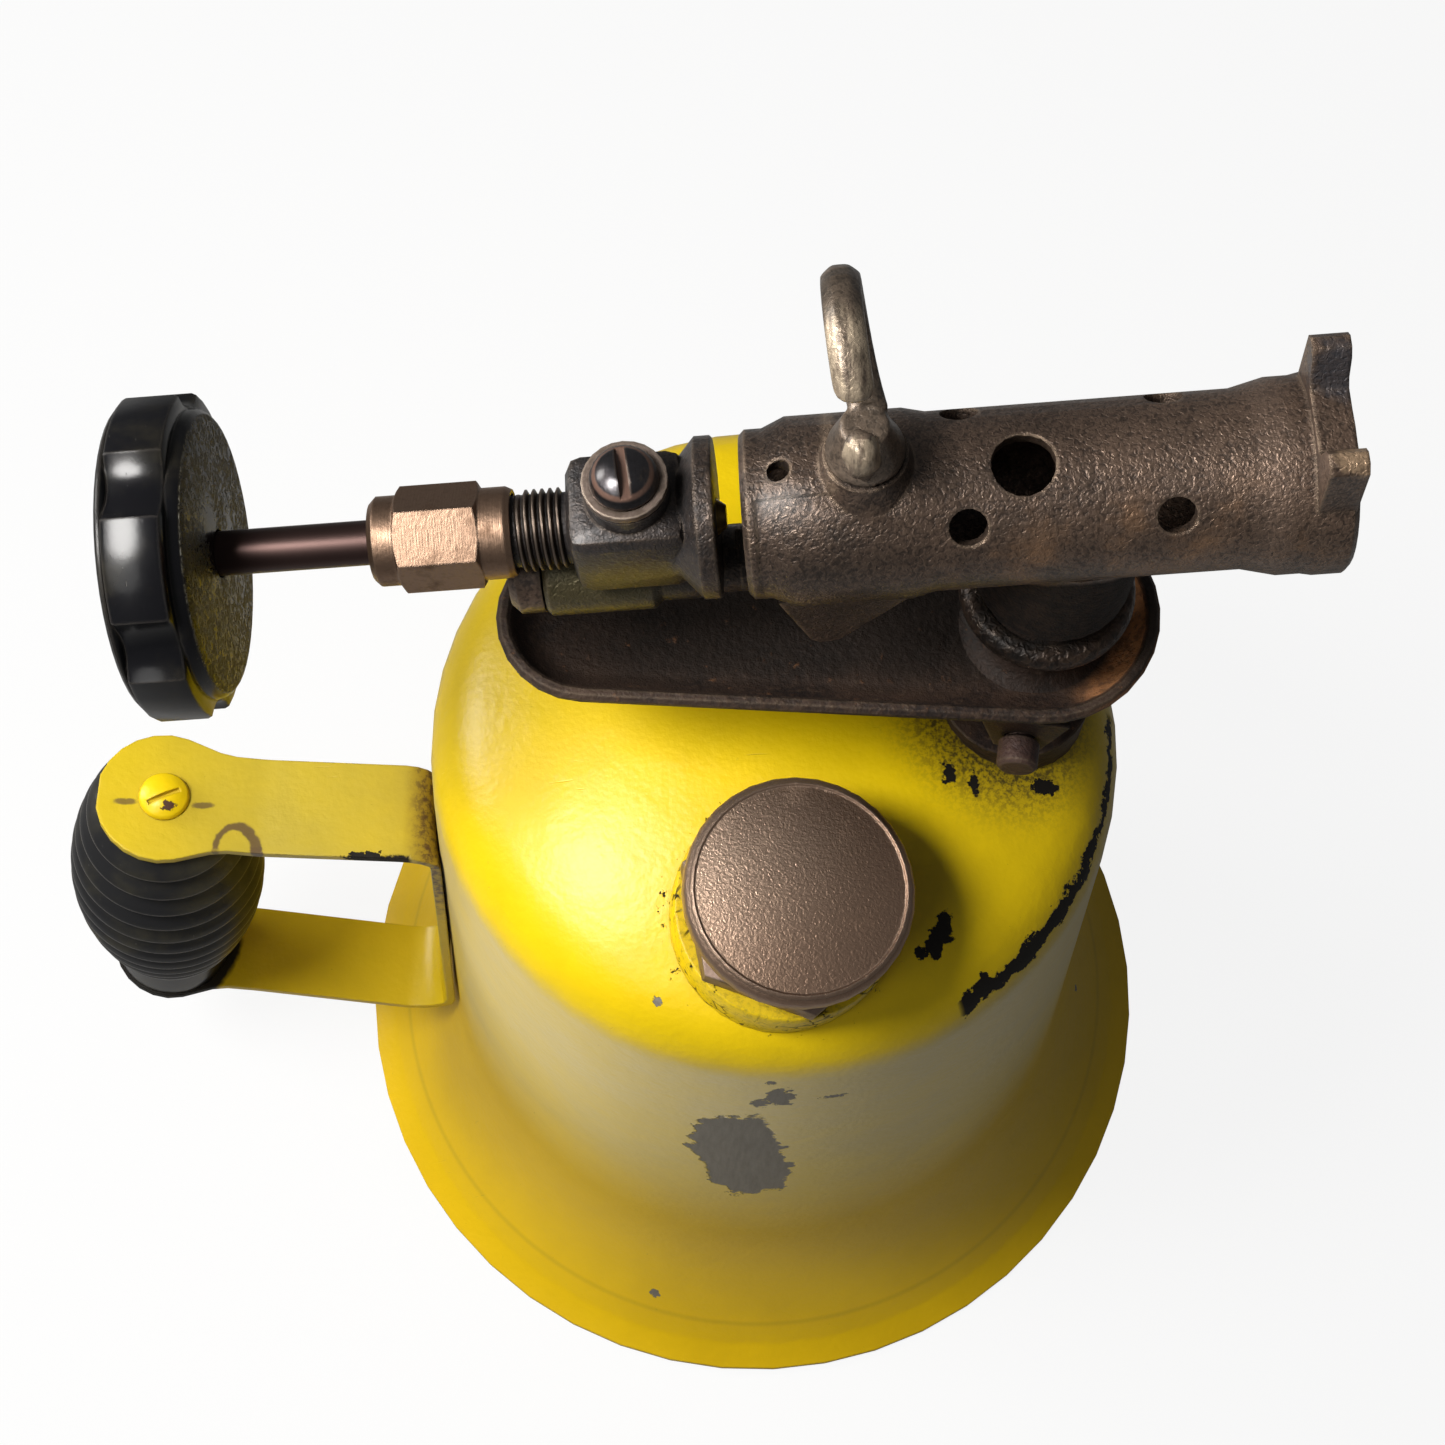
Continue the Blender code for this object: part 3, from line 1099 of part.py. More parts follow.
def valve_block(burner_line):
    """Return the block, the gland sleeve, the flange, the clean-out boss and the web."""
    width = BLOCK_HALF_WIDTH
    block = rounded_block(
        "block", (BLOCK_START, -width, -BLOCK_BELOW), (BLOCK_END, width, BLOCK_ABOVE), BLOCK_EDGE,
        burner_line,
    )
    sleeve_start = NUT_END - SLEEVE_ENGAGED_LENGTH
    block_middle = (BLOCK_START + BLOCK_END) / 2
    neck_start = BLOCK_END - BLOCK_EDGE * 2
    middle = (neck_start + FLANGE_START) / 2
    turned = [
        (0, sleeve_start), (SLEEVE_RADIUS, sleeve_start), (SLEEVE_RADIUS, block_middle),
        (FLANGE_NECK_START_RADIUS, block_middle), (FLANGE_NECK_START_RADIUS, neck_start),
        (FLANGE_NECK_MID_RADIUS, middle), (FLANGE_RADIUS, FLANGE_START),
        (FLANGE_RADIUS, FLANGE_END - BLOCK_EDGE / 8), (FLANGE_RADIUS - BLOCK_EDGE / 8, FLANGE_END),
        (0, FLANGE_END),
    ]
    mesh = lathe("valve_sleeve", turned, MEDIUM_SEGMENTS)
    sleeve = guide("valve_sleeve", mesh, burner_line, rotation=ALONG)
    boss = rod("cleanout_boss", CLEANOUT_BOSS_RADIUS, 0, CLEANOUT_BOSS_HEIGHT, MEDIUM_SEGMENTS)
    boss_guide = guide("cleanout_boss", boss, burner_line, (cleanout_place(), 0, 0))
    thick = WEB_HALF_THICKNESS
    web = rounded_block(
        "valve_web", (BLOCK_START + thick / 2, -thick, -PASSAGE_DROP), (BLOCK_END - thick / 2, thick, 0),
        thick / 4,
        burner_line,
    )
    return [block, sleeve, boss_guide, web]


def casting_cuts(burner_line, riser_line):
    """Return the bore, the fuel ways, the screw holes and the air holes."""
    step = TUBE_END - MUZZLE_LENGTH
    bore = [
        (0, TUBE_START - SLOT_WIDTH / 2), (TUBE_BORE_RADIUS, TUBE_START - SLOT_WIDTH / 2),
        (TUBE_BORE_RADIUS, step), (MUZZLE_BORE_RADIUS, step + MUZZLE_STEP_LENGTH),
        (MUZZLE_BORE_RADIUS, TUBE_END + CUT_OVERRUN), (0, TUBE_END + CUT_OVERRUN),
    ]
    mesh = lathe("tube_bore", bore, LARGE_SEGMENTS, turn=BORE_TURN)
    cuts = [guide("tube_bore", mesh, burner_line, rotation=ALONG)]
    sleeve_start = NUT_END - SLEEVE_ENGAGED_LENGTH
    jet_start = FLANGE_END + JET_REACH - JET_LENGTH
    spindle = [
        (0, sleeve_start - CUT_OVERRUN), (SPINDLE_BORE_RADIUS, sleeve_start - CUT_OVERRUN),
        (SPINDLE_BORE_RADIUS, jet_start - SEAT_GAP), (JET_RADIUS + SEAT_GAP, jet_start - SEAT_GAP),
        (JET_RADIUS + SEAT_GAP, FLANGE_END + SLOT_WIDTH / 2), (0, FLANGE_END + SLOT_WIDTH / 2),
    ]
    mesh = lathe("spindle_bore", spindle, SMALL_SEGMENTS)
    cuts.append(guide("spindle_bore", mesh, burner_line, rotation=ALONG))
    drill = rod(
        "cleanout_bore", CLEANOUT_BORE_RADIUS, -PASSAGE_DROP - PASSAGE_BORE_RADIUS / 2,
        CLEANOUT_BOSS_HEIGHT + CUT_OVERRUN, TINY_SEGMENTS, turn=DRILL_TURN,
    )
    cuts.append(guide("cleanout_bore", drill, burner_line, (cleanout_place(), 0, 0)))
    start = lower_barrel_start()
    way = [
        (0, start - CUT_OVERRUN), (PLUG_SHANK_RADIUS + SEAT_GAP, start - CUT_OVERRUN),
        (PLUG_SHANK_RADIUS + SEAT_GAP, start + PLUG_SHANK_LENGTH + SEAT_GAP),
        (PASSAGE_BORE_RADIUS, start + PLUG_SHANK_LENGTH + SEAT_GAP), (PASSAGE_BORE_RADIUS, 0), (0, 0),
    ]
    mesh = lathe("fuel_way", way, TINY_SEGMENTS, turn=DRILL_TURN)
    cuts.append(guide("fuel_way", mesh, burner_line, (0, 0, -PASSAGE_DROP), ALONG))
    low = collar_foot()
    roof = socket_top()
    top = burner_height() - PASSAGE_DROP
    socket = [
        (0, low - CUT_OVERRUN), (RISER_RADIUS + SEAT_GAP, low - CUT_OVERRUN),
        (RISER_RADIUS + SEAT_GAP, roof), (BOSS_WAY_RADIUS, roof),
        (BOSS_WAY_RADIUS, top), (0, top),
    ]
    mesh = lathe("riser_socket", socket, MEDIUM_SEGMENTS, turn=DRILL_TURN)
    cuts.append(guide("riser_socket", mesh, riser_line))
    stud = rod(
        "hook_stud_hole", HOOK_STUD_RADIUS + SEAT_GAP, HOOK_PAD_HEIGHT - HOOK_STUD_DEPTH - SEAT_GAP,
        HOOK_PAD_HEIGHT + CUT_OVERRUN, TINY_SEGMENTS, turn=DRILL_TURN,
    )
    cuts.append(guide("hook_stud_hole", stud, burner_line, (hook_place(), 0, 0)))
    holes = [(VENT_PLACE, VENT_RADIUS, 0), (TOP_HOLE_PLACE, TOP_HOLE_RADIUS, TOP_HOLE_TURN)]
    for place, turn in ((REAR_HOLE_PLACE, REAR_HOLE_TURN), (FRONT_HOLE_PLACE, FRONT_HOLE_TURN)):
        holes += [(place, AIR_HOLE_RADIUS, turn), (place, AIR_HOLE_RADIUS, -turn)]
    for number, (place, radius, angle) in enumerate(holes, 1):
        name = f"air_hole_{number}"
        high = TUBE_REAR_RADIUS + CUT_OVERRUN
        drill = rod(name, radius, TUBE_BORE_RADIUS / 2, high, SMALL_SEGMENTS, turn=DRILL_TURN)
        cuts.append(guide(name, drill, burner_line, (TUBE_START + place, 0, 0), (angle, 0, 0)))
    return cuts


def build_valve(burner_line):
    """Build the jet, the needle spindle, the packing, its nut and the plugs."""
    jet_start = FLANGE_END + JET_REACH - JET_LENGTH
    jet_end = jet_start + JET_LENGTH
    jet = [
        (JET_INLET_RADIUS, jet_start), (JET_RADIUS, jet_start), (JET_RADIUS, FLANGE_END),
        (JET_TIP_RADIUS, jet_end), (JET_ORIFICE_RADIUS, jet_end),
        (JET_ORIFICE_RADIUS, jet_start + JET_INLET_DEPTH + JET_INLET_RADIUS),
        (JET_INLET_RADIUS, jet_start + JET_INLET_DEPTH),
    ]
    mesh = lathe("jet_nipple", jet, SMALL_SEGMENTS, closed=True)
    piece("jet_nipple", mesh, YELLOW_BRASS, burner_line, rotation=ALONG)
    needle_end = jet_start + JET_INLET_DEPTH - SEAT_GAP
    waist = cleanout_place() - CLEANOUT_BORE_RADIUS - SEAT_GAP
    end_web = WHEEL_FACE - WHEEL_WEB
    spindle = [
        (0, end_web + SEAT_GAP), (STEM_RADIUS, end_web + SEAT_GAP), (STEM_RADIUS, waist),
        (SPINDLE_WAIST_RADIUS, waist + STEM_RADIUS - SPINDLE_WAIST_RADIUS),
        (SPINDLE_WAIST_RADIUS, jet_start - 2 * SEAT_GAP), (NEEDLE_RADIUS, jet_start - SEAT_GAP),
        (NEEDLE_RADIUS, needle_end - NEEDLE_CONE_LENGTH), (NEEDLE_TIP_RADIUS, needle_end), (0, needle_end),
    ]
    valve_spindle = piece(
        "valve_spindle", lathe("valve_spindle", spindle, SMALL_SEGMENTS), DARK_STEEL, burner_line,
        rotation=ALONG,
    )
    tap = rod(
        "spindle_tap", WHEEL_SCREW_RADIUS + SEAT_GAP, end_web - CUT_OVERRUN,
        end_web + WHEEL_SCREW_LENGTH + 2 * SEAT_GAP, TINY_SEGMENTS,
    )
    combine(valve_spindle, "DIFFERENCE", guide("spindle_tap", tap, burner_line, rotation=ALONG))
    build_packing(burner_line)
    start = lower_barrel_start()
    plug = [
        (0, start - SEAT_GAP - PLUG_LENGTH), (PLUG_RADIUS - PLUG_EDGE, start - SEAT_GAP - PLUG_LENGTH),
        (PLUG_RADIUS, start - SEAT_GAP - PLUG_LENGTH + PLUG_EDGE), (PLUG_RADIUS, start - SEAT_GAP),
        (PLUG_SHANK_RADIUS, start - SEAT_GAP), (PLUG_SHANK_RADIUS, start + PLUG_SHANK_LENGTH),
        (0, start + PLUG_SHANK_LENGTH),
    ]
    mesh = lathe("passage_plug", plug, SMALL_SEGMENTS)
    piece("passage_plug", mesh, CAST_BRONZE, burner_line, (0, 0, -PASSAGE_DROP), ALONG)
    seat = CLEANOUT_BOSS_HEIGHT + SEAT_GAP
    washer = tube(
        "cleanout_washer", CLEANOUT_BORE_RADIUS, CLEANOUT_WASHER_RADIUS, seat,
        seat + CLEANOUT_WASHER_THICKNESS, MEDIUM_SEGMENTS,
    )
    piece("cleanout_washer", washer, TURNED_BRONZE, burner_line, (cleanout_place(), 0, 0))
    head = seat + CLEANOUT_WASHER_THICKNESS + SEAT_GAP
    screw = dome_head(
        "cleanout_screw", CLEANOUT_HEAD_RADIUS, CLEANOUT_HEAD_HEIGHT, CLEANOUT_BORE_RADIUS - SEAT_GAP,
        CLEANOUT_SHANK_LENGTH,
    )
    piece("cleanout_screw", screw, DARK_STEEL, burner_line, (cleanout_place(), 0, head))


def build_packing(burner_line):
    """Build the packing nut and the packing ring that it presses on the sleeve."""
    hex_start = NUT_START + NUT_NOSE_LENGTH
    hex_end = hex_start + NUT_HEX_LENGTH
    nut_mesh = hexagon("packing_nut", NUT_HEX_FLATS, hex_start, hex_end, turn=NUT_TURN)
    nut = piece("packing_nut", nut_mesh, TURNED_BRONZE, burner_line, rotation=ALONG)
    drum = chamfer_drum("nut_drum", NUT_HEX_FLATS, hex_start, hex_end)
    combine(nut, "INTERSECT", guide("nut_drum", drum, burner_line, rotation=ALONG))
    body = [
        (0, NUT_START), (NUT_NOSE_RADIUS - NUT_EDGE, NUT_START), (NUT_NOSE_RADIUS, NUT_START + NUT_EDGE),
        (NUT_NOSE_RADIUS, hex_start + NUT_EDGE), (NUT_SKIRT_RADIUS, hex_end - NUT_EDGE),
        (NUT_SKIRT_RADIUS, NUT_END - NUT_EDGE), (NUT_SKIRT_RADIUS - NUT_EDGE / 2, NUT_END), (0, NUT_END),
    ]
    mesh = lathe("nut_body", body, MEDIUM_SEGMENTS)
    combine(nut, "UNION", guide("nut_body", mesh, burner_line, rotation=ALONG))
    clear = SLEEVE_RADIUS + SEAT_GAP
    roof = NUT_START + NUT_ROOF
    hollow = [
        (0, NUT_START - CUT_OVERRUN), (SPINDLE_BORE_RADIUS, NUT_START - CUT_OVERRUN),
        (SPINDLE_BORE_RADIUS, roof), (clear, roof), (clear, NUT_END + CUT_OVERRUN),
        (0, NUT_END + CUT_OVERRUN),
    ]
    mesh = lathe("nut_hollow", hollow, MEDIUM_SEGMENTS)
    combine(nut, "DIFFERENCE", guide("nut_hollow", mesh, burner_line, rotation=ALONG))
    sleeve_start = NUT_END - SLEEVE_ENGAGED_LENGTH
    packing = tube(
        "gland_packing", STEM_RADIUS + RUNNING_GAP, SLEEVE_RADIUS, roof + PACKING_GAP,
        sleeve_start - PACKING_GAP, MEDIUM_SEGMENTS,
    )
    piece("gland_packing", packing, PACKING_CORD, burner_line, rotation=ALONG)


def build_wheel(burner_line):
    """Build the lobed handwheel and the screw that holds it on the spindle."""
    face = WHEEL_FACE
    back = face - WHEEL_THICKNESS
    shoulder = WHEEL_SHOULDER
    edge = WHEEL_EDGE
    disc = back + WHEEL_DISC_THICKNESS
    body = [
        (0, back), (WHEEL_DISC_RADIUS - edge, back), (WHEEL_DISC_RADIUS, back + edge),
        (WHEEL_DISC_RADIUS, disc - edge), (WHEEL_DISC_RADIUS - edge, disc), (WHEEL_BODY_RADIUS, disc + edge),
    ]
    body += arc((WHEEL_BODY_RADIUS - shoulder, face - shoulder), shoulder, 0, 90, 3) + [(0, face)]
    mesh = lathe("handwheel", body, TANK_SEGMENTS)
    wheel = piece("handwheel", mesh, BLACK_MOULDING, burner_line, rotation=ALONG)
    outline = []
    valley = WHEEL_BODY_RADIUS + SEAT_GAP
    for lobe in range(WHEEL_LOBES):
        for place, height in zip(LOBE_ANGLE_SHARES, LOBE_HEIGHT_SHARES):
            angle = math.tau * (lobe + place) / WHEEL_LOBES
            radius = valley + (WHEEL_LOBE_RADIUS - valley) * height
            outline.append((radius * math.cos(angle), radius * math.sin(angle)))
    mesh = prism("wheel_lobes", outline, disc - edge / 2, face - shoulder)
    lobes = guide("wheel_lobes", mesh, burner_line, rotation=ALONG)
    ease = lobes.modifiers.new("edge", "BEVEL")
    ease.width = WHEEL_LOBE_BEVEL
    ease.segments = 2
    ease.limit_method = "ANGLE"
    ease.angle_limit = WHEEL_BEVEL_ANGLE
    combine(wheel, "UNION", lobes)
    seat = face - WHEEL_WEB
    floor = back + WHEEL_RECESS_DEPTH
    hole = [
        (0, back - CUT_OVERRUN), (WHEEL_RECESS_RADIUS, back - CUT_OVERRUN),
        (WHEEL_RECESS_RADIUS, back + shoulder), (WHEEL_RECESS_RADIUS - shoulder, floor),
        (WHEEL_SCREW_RADIUS + SEAT_GAP, floor), (WHEEL_SCREW_RADIUS + SEAT_GAP, seat),
        (STEM_RADIUS + SEAT_GAP, seat),
        (STEM_RADIUS + SEAT_GAP, face + CUT_OVERRUN), (0, face + CUT_OVERRUN),
    ]
    mesh = lathe("wheel_hole", hole, MEDIUM_SEGMENTS, turn=DRILL_TURN)
    combine(wheel, "DIFFERENCE", guide("wheel_hole", mesh, burner_line, rotation=ALONG))
    head = back + WHEEL_RECESS_DEPTH - SEAT_GAP
    length = seat + WHEEL_SCREW_LENGTH - head
    screw = dome_head(
        "handwheel_screw", WHEEL_SCREW_HEAD_RADIUS, WHEEL_SCREW_HEAD_HEIGHT, WHEEL_SCREW_RADIUS, length
    )
    piece("handwheel_screw", screw, DARK_STEEL, burner_line, (head, 0, 0), (0, -math.pi / 2, 0))


def build_hook(burner_line):
    """Build the bent iron hook: a turned foot and a flat band swept round an arc."""
    place = hook_place()
    foot = HOOK_PAD_HEIGHT + SEAT_GAP
    turned = [
        (0, foot - HOOK_STUD_DEPTH), (HOOK_STUD_RADIUS, foot - HOOK_STUD_DEPTH), (HOOK_STUD_RADIUS, foot),
        (HOOK_FOOT_RADIUS, foot), (HOOK_FOOT_RADIUS, foot + HOOK_FOOT_RADIUS / 4),
        (HOOK_NECK_RADIUS, HOOK_NECK_RISE), (0, HOOK_NECK_RISE),
    ]
    mesh = lathe("iron_hook", turned, MEDIUM_SEGMENTS)
    hook = piece("iron_hook", mesh, WORN_IRON, burner_line, (place, 0, 0))
    half_width = HOOK_BAND_WIDTH / 2
    half_thickness = HOOK_BAND_THICKNESS / 2
    centre = Vector((0, HOOK_RING_Y, HOOK_RING_RISE))
    rings = []
    for i in range(HOOK_STEPS + 1):
        share = i / HOOK_STEPS
        angle = HOOK_START_ANGLE + (HOOK_END_ANGLE - HOOK_START_ANGLE) * share
        out = Vector((0, math.cos(angle), math.sin(angle)))
        rest = 1 - share
        lean = HOOK_START_LEAN * rest**2 + 2 * HOOK_MIDDLE_LEAN * rest * share + HOOK_END_LEAN * share**2
        middle = centre + out * HOOK_RING_RADIUS + Vector((lean, 0, 0))
        ring = []
        for corner in range(8):
            turn = math.tau * (corner + 0.5) / 8
            offset = Vector((1, 0, 0)) * half_width * math.cos(turn) + out * half_thickness * math.sin(turn)
            ring.append(middle + offset)
        rings.append(ring)
    last = rings[-1]
    middle = sum(last, Vector()) / len(last)
    ahead = (middle - sum(rings[-2], Vector()) / len(last)).normalized()
    for share in HOOK_TIP_SHARES:
        shrink = math.sqrt(1 - share**2)
        rings.append([middle + ahead * half_thickness * share + (p - middle) * shrink for p in last])
    mesh = loft("hook_band", rings)
    combine(hook, "UNION", guide("hook_band", mesh, burner_line, (place, 0, 0)))


def strap_route():
    """Return the bent centre line of the bracket as distance out and height."""
    grip = Vector((LOWER_EYE_OUT - UPPER_EYE_OUT, LOWER_EYE_HEIGHT - UPPER_EYE_HEIGHT)).normalized()
    away = Vector((-grip.y, grip.x))
    upper = Vector((UPPER_EYE_OUT, UPPER_EYE_HEIGHT))
    lower = Vector((LOWER_EYE_OUT, LOWER_EYE_HEIGHT))
    reach = EYE_RADIUS + NECK_LENGTH
    off_wall = SEAT_GAP + STRAP_THICKNESS / 2
    route = [
        upper + away * EYE_RADIUS, upper - away * reach,
        Vector((wall_radius(ARM_ROOT_HEIGHT) + off_wall, ARM_ROOT_HEIGHT)),
        Vector((wall_radius(LOWER_ROOT_HEIGHT) + off_wall, LOWER_ROOT_HEIGHT)),
        lower - away * reach, lower + away * EYE_RADIUS,
    ]
    radii = [NECK_BEND_RADIUS, BEND_RADIUS, LOWER_BEND_RADIUS, NECK_BEND_RADIUS]
    return route, radii


def bent_line(route, radii, steps=4):
    """Round each inner corner of a route with its own bend radius."""
    points = [route[0]]
    for before, corner, after, radius in zip(route, route[1:], route[2:], radii):
        first = (before - corner).normalized()
        last = (after - corner).normalized()
        half = first.angle(last) / 2
        reach = radius / math.tan(half)
        middle = corner + (first + last).normalized() * radius / math.sin(half)
        start = corner + first * reach - middle
        end = corner + last * reach - middle
        sweep = start.angle(end)
        turn = 1 if start.x * end.y - start.y * end.x > 0 else -1
        for i in range(steps + 1):
            spin = Matrix.Rotation(turn * sweep * i / steps, 2)
            points.append(middle + spin @ start)
    points.append(route[-1])
    return points


def point_along(points, distance):
    """Return the point and direction of a line of points at a distance along it."""
    for first, last in zip(points, points[1:]):
        length = (last - first).length
        if distance <= length or last is points[-1]:
            return first + (last - first) * (distance / length), (last - first).normalized()
        distance -= length
    return points[-1], (points[-1] - points[-2]).normalized()


def strap_half_width(from_tip, arm):
    """Return the strap's half width: a round eye that eases into the arm."""
    if from_tip < EYE_RADIUS:
        return math.sqrt(EYE_RADIUS**2 - (EYE_RADIUS - from_tip) ** 2)
    share = min(1.0, (from_tip - EYE_RADIUS) / EYE_RADIUS)
    eased_share = share * share * (3 - 2 * share)
    return EYE_RADIUS + (arm - EYE_RADIUS) * eased_share


def strap_stations(length, points):
    """Return the distances along the strap at which it has a cross line."""
    eye = [EYE_RADIUS * (1 - math.cos(math.pi / 2 * i / EYE_STEPS)) for i in range(1, EYE_STEPS + 1)]
    neck = [EYE_RADIUS * (1 + share) for share in NECK_SHARES]
    ends = eye + neck
    middle = []
    travelled = 0.0
    for first, last in zip(points, points[1:]):
        travelled += (last - first).length
        if ends[-1] < travelled < length - ends[-1]:
            middle.append(travelled)
    return ends + middle + [length - distance for distance in reversed(ends)]


def wall_hollow(y):
    """Return how far the wall falls away from a flat strap at a place across it."""
    radius = (WALL_TOP_RADIUS + WALL_FOOT_RADIUS) / 2
    return radius - math.sqrt(radius**2 - (y + HANDLE_SIDE_SHIFT) ** 2)


def build_bracket(handle_line):
    """Build the bent strap bracket with a round eye at each end."""
    route, radii = strap_route()
    points = bent_line(route, radii)
    length = sum((last - first).length for first, last in zip(points, points[1:]))
    rows = []
    for distance in strap_stations(length, points):
        middle, ahead = point_along(points, distance)
        share = distance / length
        arm = ARM_HALF_WIDTH + (LOWER_ARM_HALF_WIDTH - ARM_HALF_WIDTH) * share
        half = strap_half_width(min(distance, length - distance), arm)
        side = Vector((-ahead.y, ahead.x)) * STRAP_THICKNESS / 2
        row = []
        for face, shares in ((middle + side, ACROSS_SHARES), (middle - side, ACROSS_SHARES[::-1])):
            for across in shares:
                y = half * across
                row.append((face.x - wall_hollow(y) * ahead.y**2, y, face.y))
        rows.append(row)
    bracket = piece("handle_bracket", loft("handle_bracket", rows), YELLOW_PAINT, handle_line)
    grip_frame = grip_line(handle_line)
    hole = rod(
        "bracket_hole", BOLT_RADIUS + SEAT_GAP, -CUT_OVERRUN, grip_span() + CUT_OVERRUN, SMALL_SEGMENTS
    )
    combine(bracket, "DIFFERENCE", guide("bracket_hole", hole, grip_frame))
    return grip_frame


def grip_span():
    """Return the distance between the middles of the two eyes."""
    return math.hypot(LOWER_EYE_OUT - UPPER_EYE_OUT, UPPER_EYE_HEIGHT - LOWER_EYE_HEIGHT)


def grip_line(handle_line):
    """Add the empty at the lower eye whose Z axis runs up through the grip."""
    lean = math.atan2(UPPER_EYE_OUT - LOWER_EYE_OUT, UPPER_EYE_HEIGHT - LOWER_EYE_HEIGHT)
    return empty("grip_line", handle_line, (LOWER_EYE_OUT, 0, LOWER_EYE_HEIGHT), (0, lean, 0))


def build_grip(frame):
    """Build the ribbed grip, the long bolt through it and the bolt's nut."""
    low = STRAP_THICKNESS / 2 + SEAT_GAP
    high = grip_span() - STRAP_THICKNESS / 2 - SEAT_GAP
    hole = BOLT_RADIUS + SEAT_GAP
    ribs_low = low + GRIP_FOOT_LENGTH
    pitch = (high - ribs_low) / GRIP_RIBS
    outline = [(hole, low), (GRIP_FOOT_RADIUS, low), (GRIP_END_RADIUS, ribs_low - pitch * GRIP_FOOT_SHARE)]
    for rib in range(GRIP_RIBS):
        for place, height in zip(RIB_PLACE_SHARES, RIB_HEIGHT_SHARES):
            share = (rib + place) / GRIP_RIBS
            swell = math.sin(math.pi * share) ** GRIP_BULGE_SHARE
            radius = GRIP_END_RADIUS + (GRIP_MAX_RADIUS - GRIP_END_RADIUS) * swell
            outline.append((radius - GRIP_GROOVE_DEPTH * (1 - height), ribs_low + (high - ribs_low) * share))
    outline += [(GRIP_END_RADIUS - GRIP_GROOVE_DEPTH, high), (hole, high)]
    piece("grip", lathe("grip", outline, MEDIUM_SEGMENTS, closed=True), BLACK_MOULDING, frame)
    head = grip_span() + STRAP_THICKNESS / 2 + SEAT_GAP
    nut_high = -STRAP_THICKNESS / 2 - SEAT_GAP
    nut_low = nut_high - BOLT_NUT_HEIGHT
    bolt = dome_head(
        "grip_bolt", BOLT_HEAD_RADIUS, BOLT_HEAD_HEIGHT, BOLT_RADIUS, head - nut_low + BOLT_END_LENGTH
    )
    piece("grip_bolt", bolt, YELLOW_PAINT, frame, (0, 0, head))
    nut = piece("grip_nut", hexagon("grip_nut", BOLT_NUT_FLATS, nut_low, nut_high), DARK_STEEL, frame)
    nut_hole = rod("grip_nut_hole", hole, nut_low - CUT_OVERRUN, nut_high + CUT_OVERRUN, SMALL_SEGMENTS)
    combine(nut, "DIFFERENCE", guide("grip_nut_hole", nut_hole, frame))


def stand_shift():
    """Return the shift that puts the middle of the object's length at the origin."""
    reach = LOWER_EYE_OUT * abs(math.cos(HANDLE_TURN)) + EYE_RADIUS
    return (reach - RIM_RADIUS) / 2


def main():
    """Build the whole torch."""
    clear_scene()
    stand = empty("stand", location=(stand_shift(), 0, 0))
    pump_line = empty(
        "pump_line", stand, (PUMP_X, PUMP_Y, pump_seat()), (PUMP_LEAN_FORWARD, PUMP_LEAN_SIDE, 0)
    )
    riser_line = empty("riser_line", stand, (RISER_X, 0, 0))
    turned = (0, -BURNER_TILT, BURNER_YAW)
    burner_line = empty("burner_line", riser_line, (0, 0, burner_height()), turned)
    across = HANDLE_SIDE_SHIFT * -math.sin(HANDLE_TURN)
    side = (across, HANDLE_SIDE_SHIFT * math.cos(HANDLE_TURN), ARM_ROOT_HEIGHT)
    handle_turn = empty("handle_turn", stand, side, (HANDLE_LEAN, 0, HANDLE_TURN))
    handle_line = empty("handle_line", handle_turn, (0, 0, -ARM_ROOT_HEIGHT))
    build_tank(stand, pump_line, riser_line)
    build_pump_bung(stand, pump_line)
    build_pump_cap(pump_line)
    build_barrel(pump_line)
    build_plunger(pump_line)
    build_riser(stand, riser_line)
    build_tray(riser_line)
    build_casting(burner_line, riser_line)
    build_valve(burner_line)
    build_wheel(burner_line)
    build_hook(burner_line)
    build_grip(build_bracket(handle_line))


main()
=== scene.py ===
"""Gasoline blow torch with a yellow bell shaped tank, a hand pump and a cast burner.

The picture looks down on the torch from in front, on a pale floor, with a small near light, a soft light
behind the left shoulder and a weak one in front.
"""

import logging
import math
from dataclasses import dataclass
from enum import Enum
from typing import Callable, Sequence

import bmesh
import bpy
from mathutils import Matrix, Vector, noise


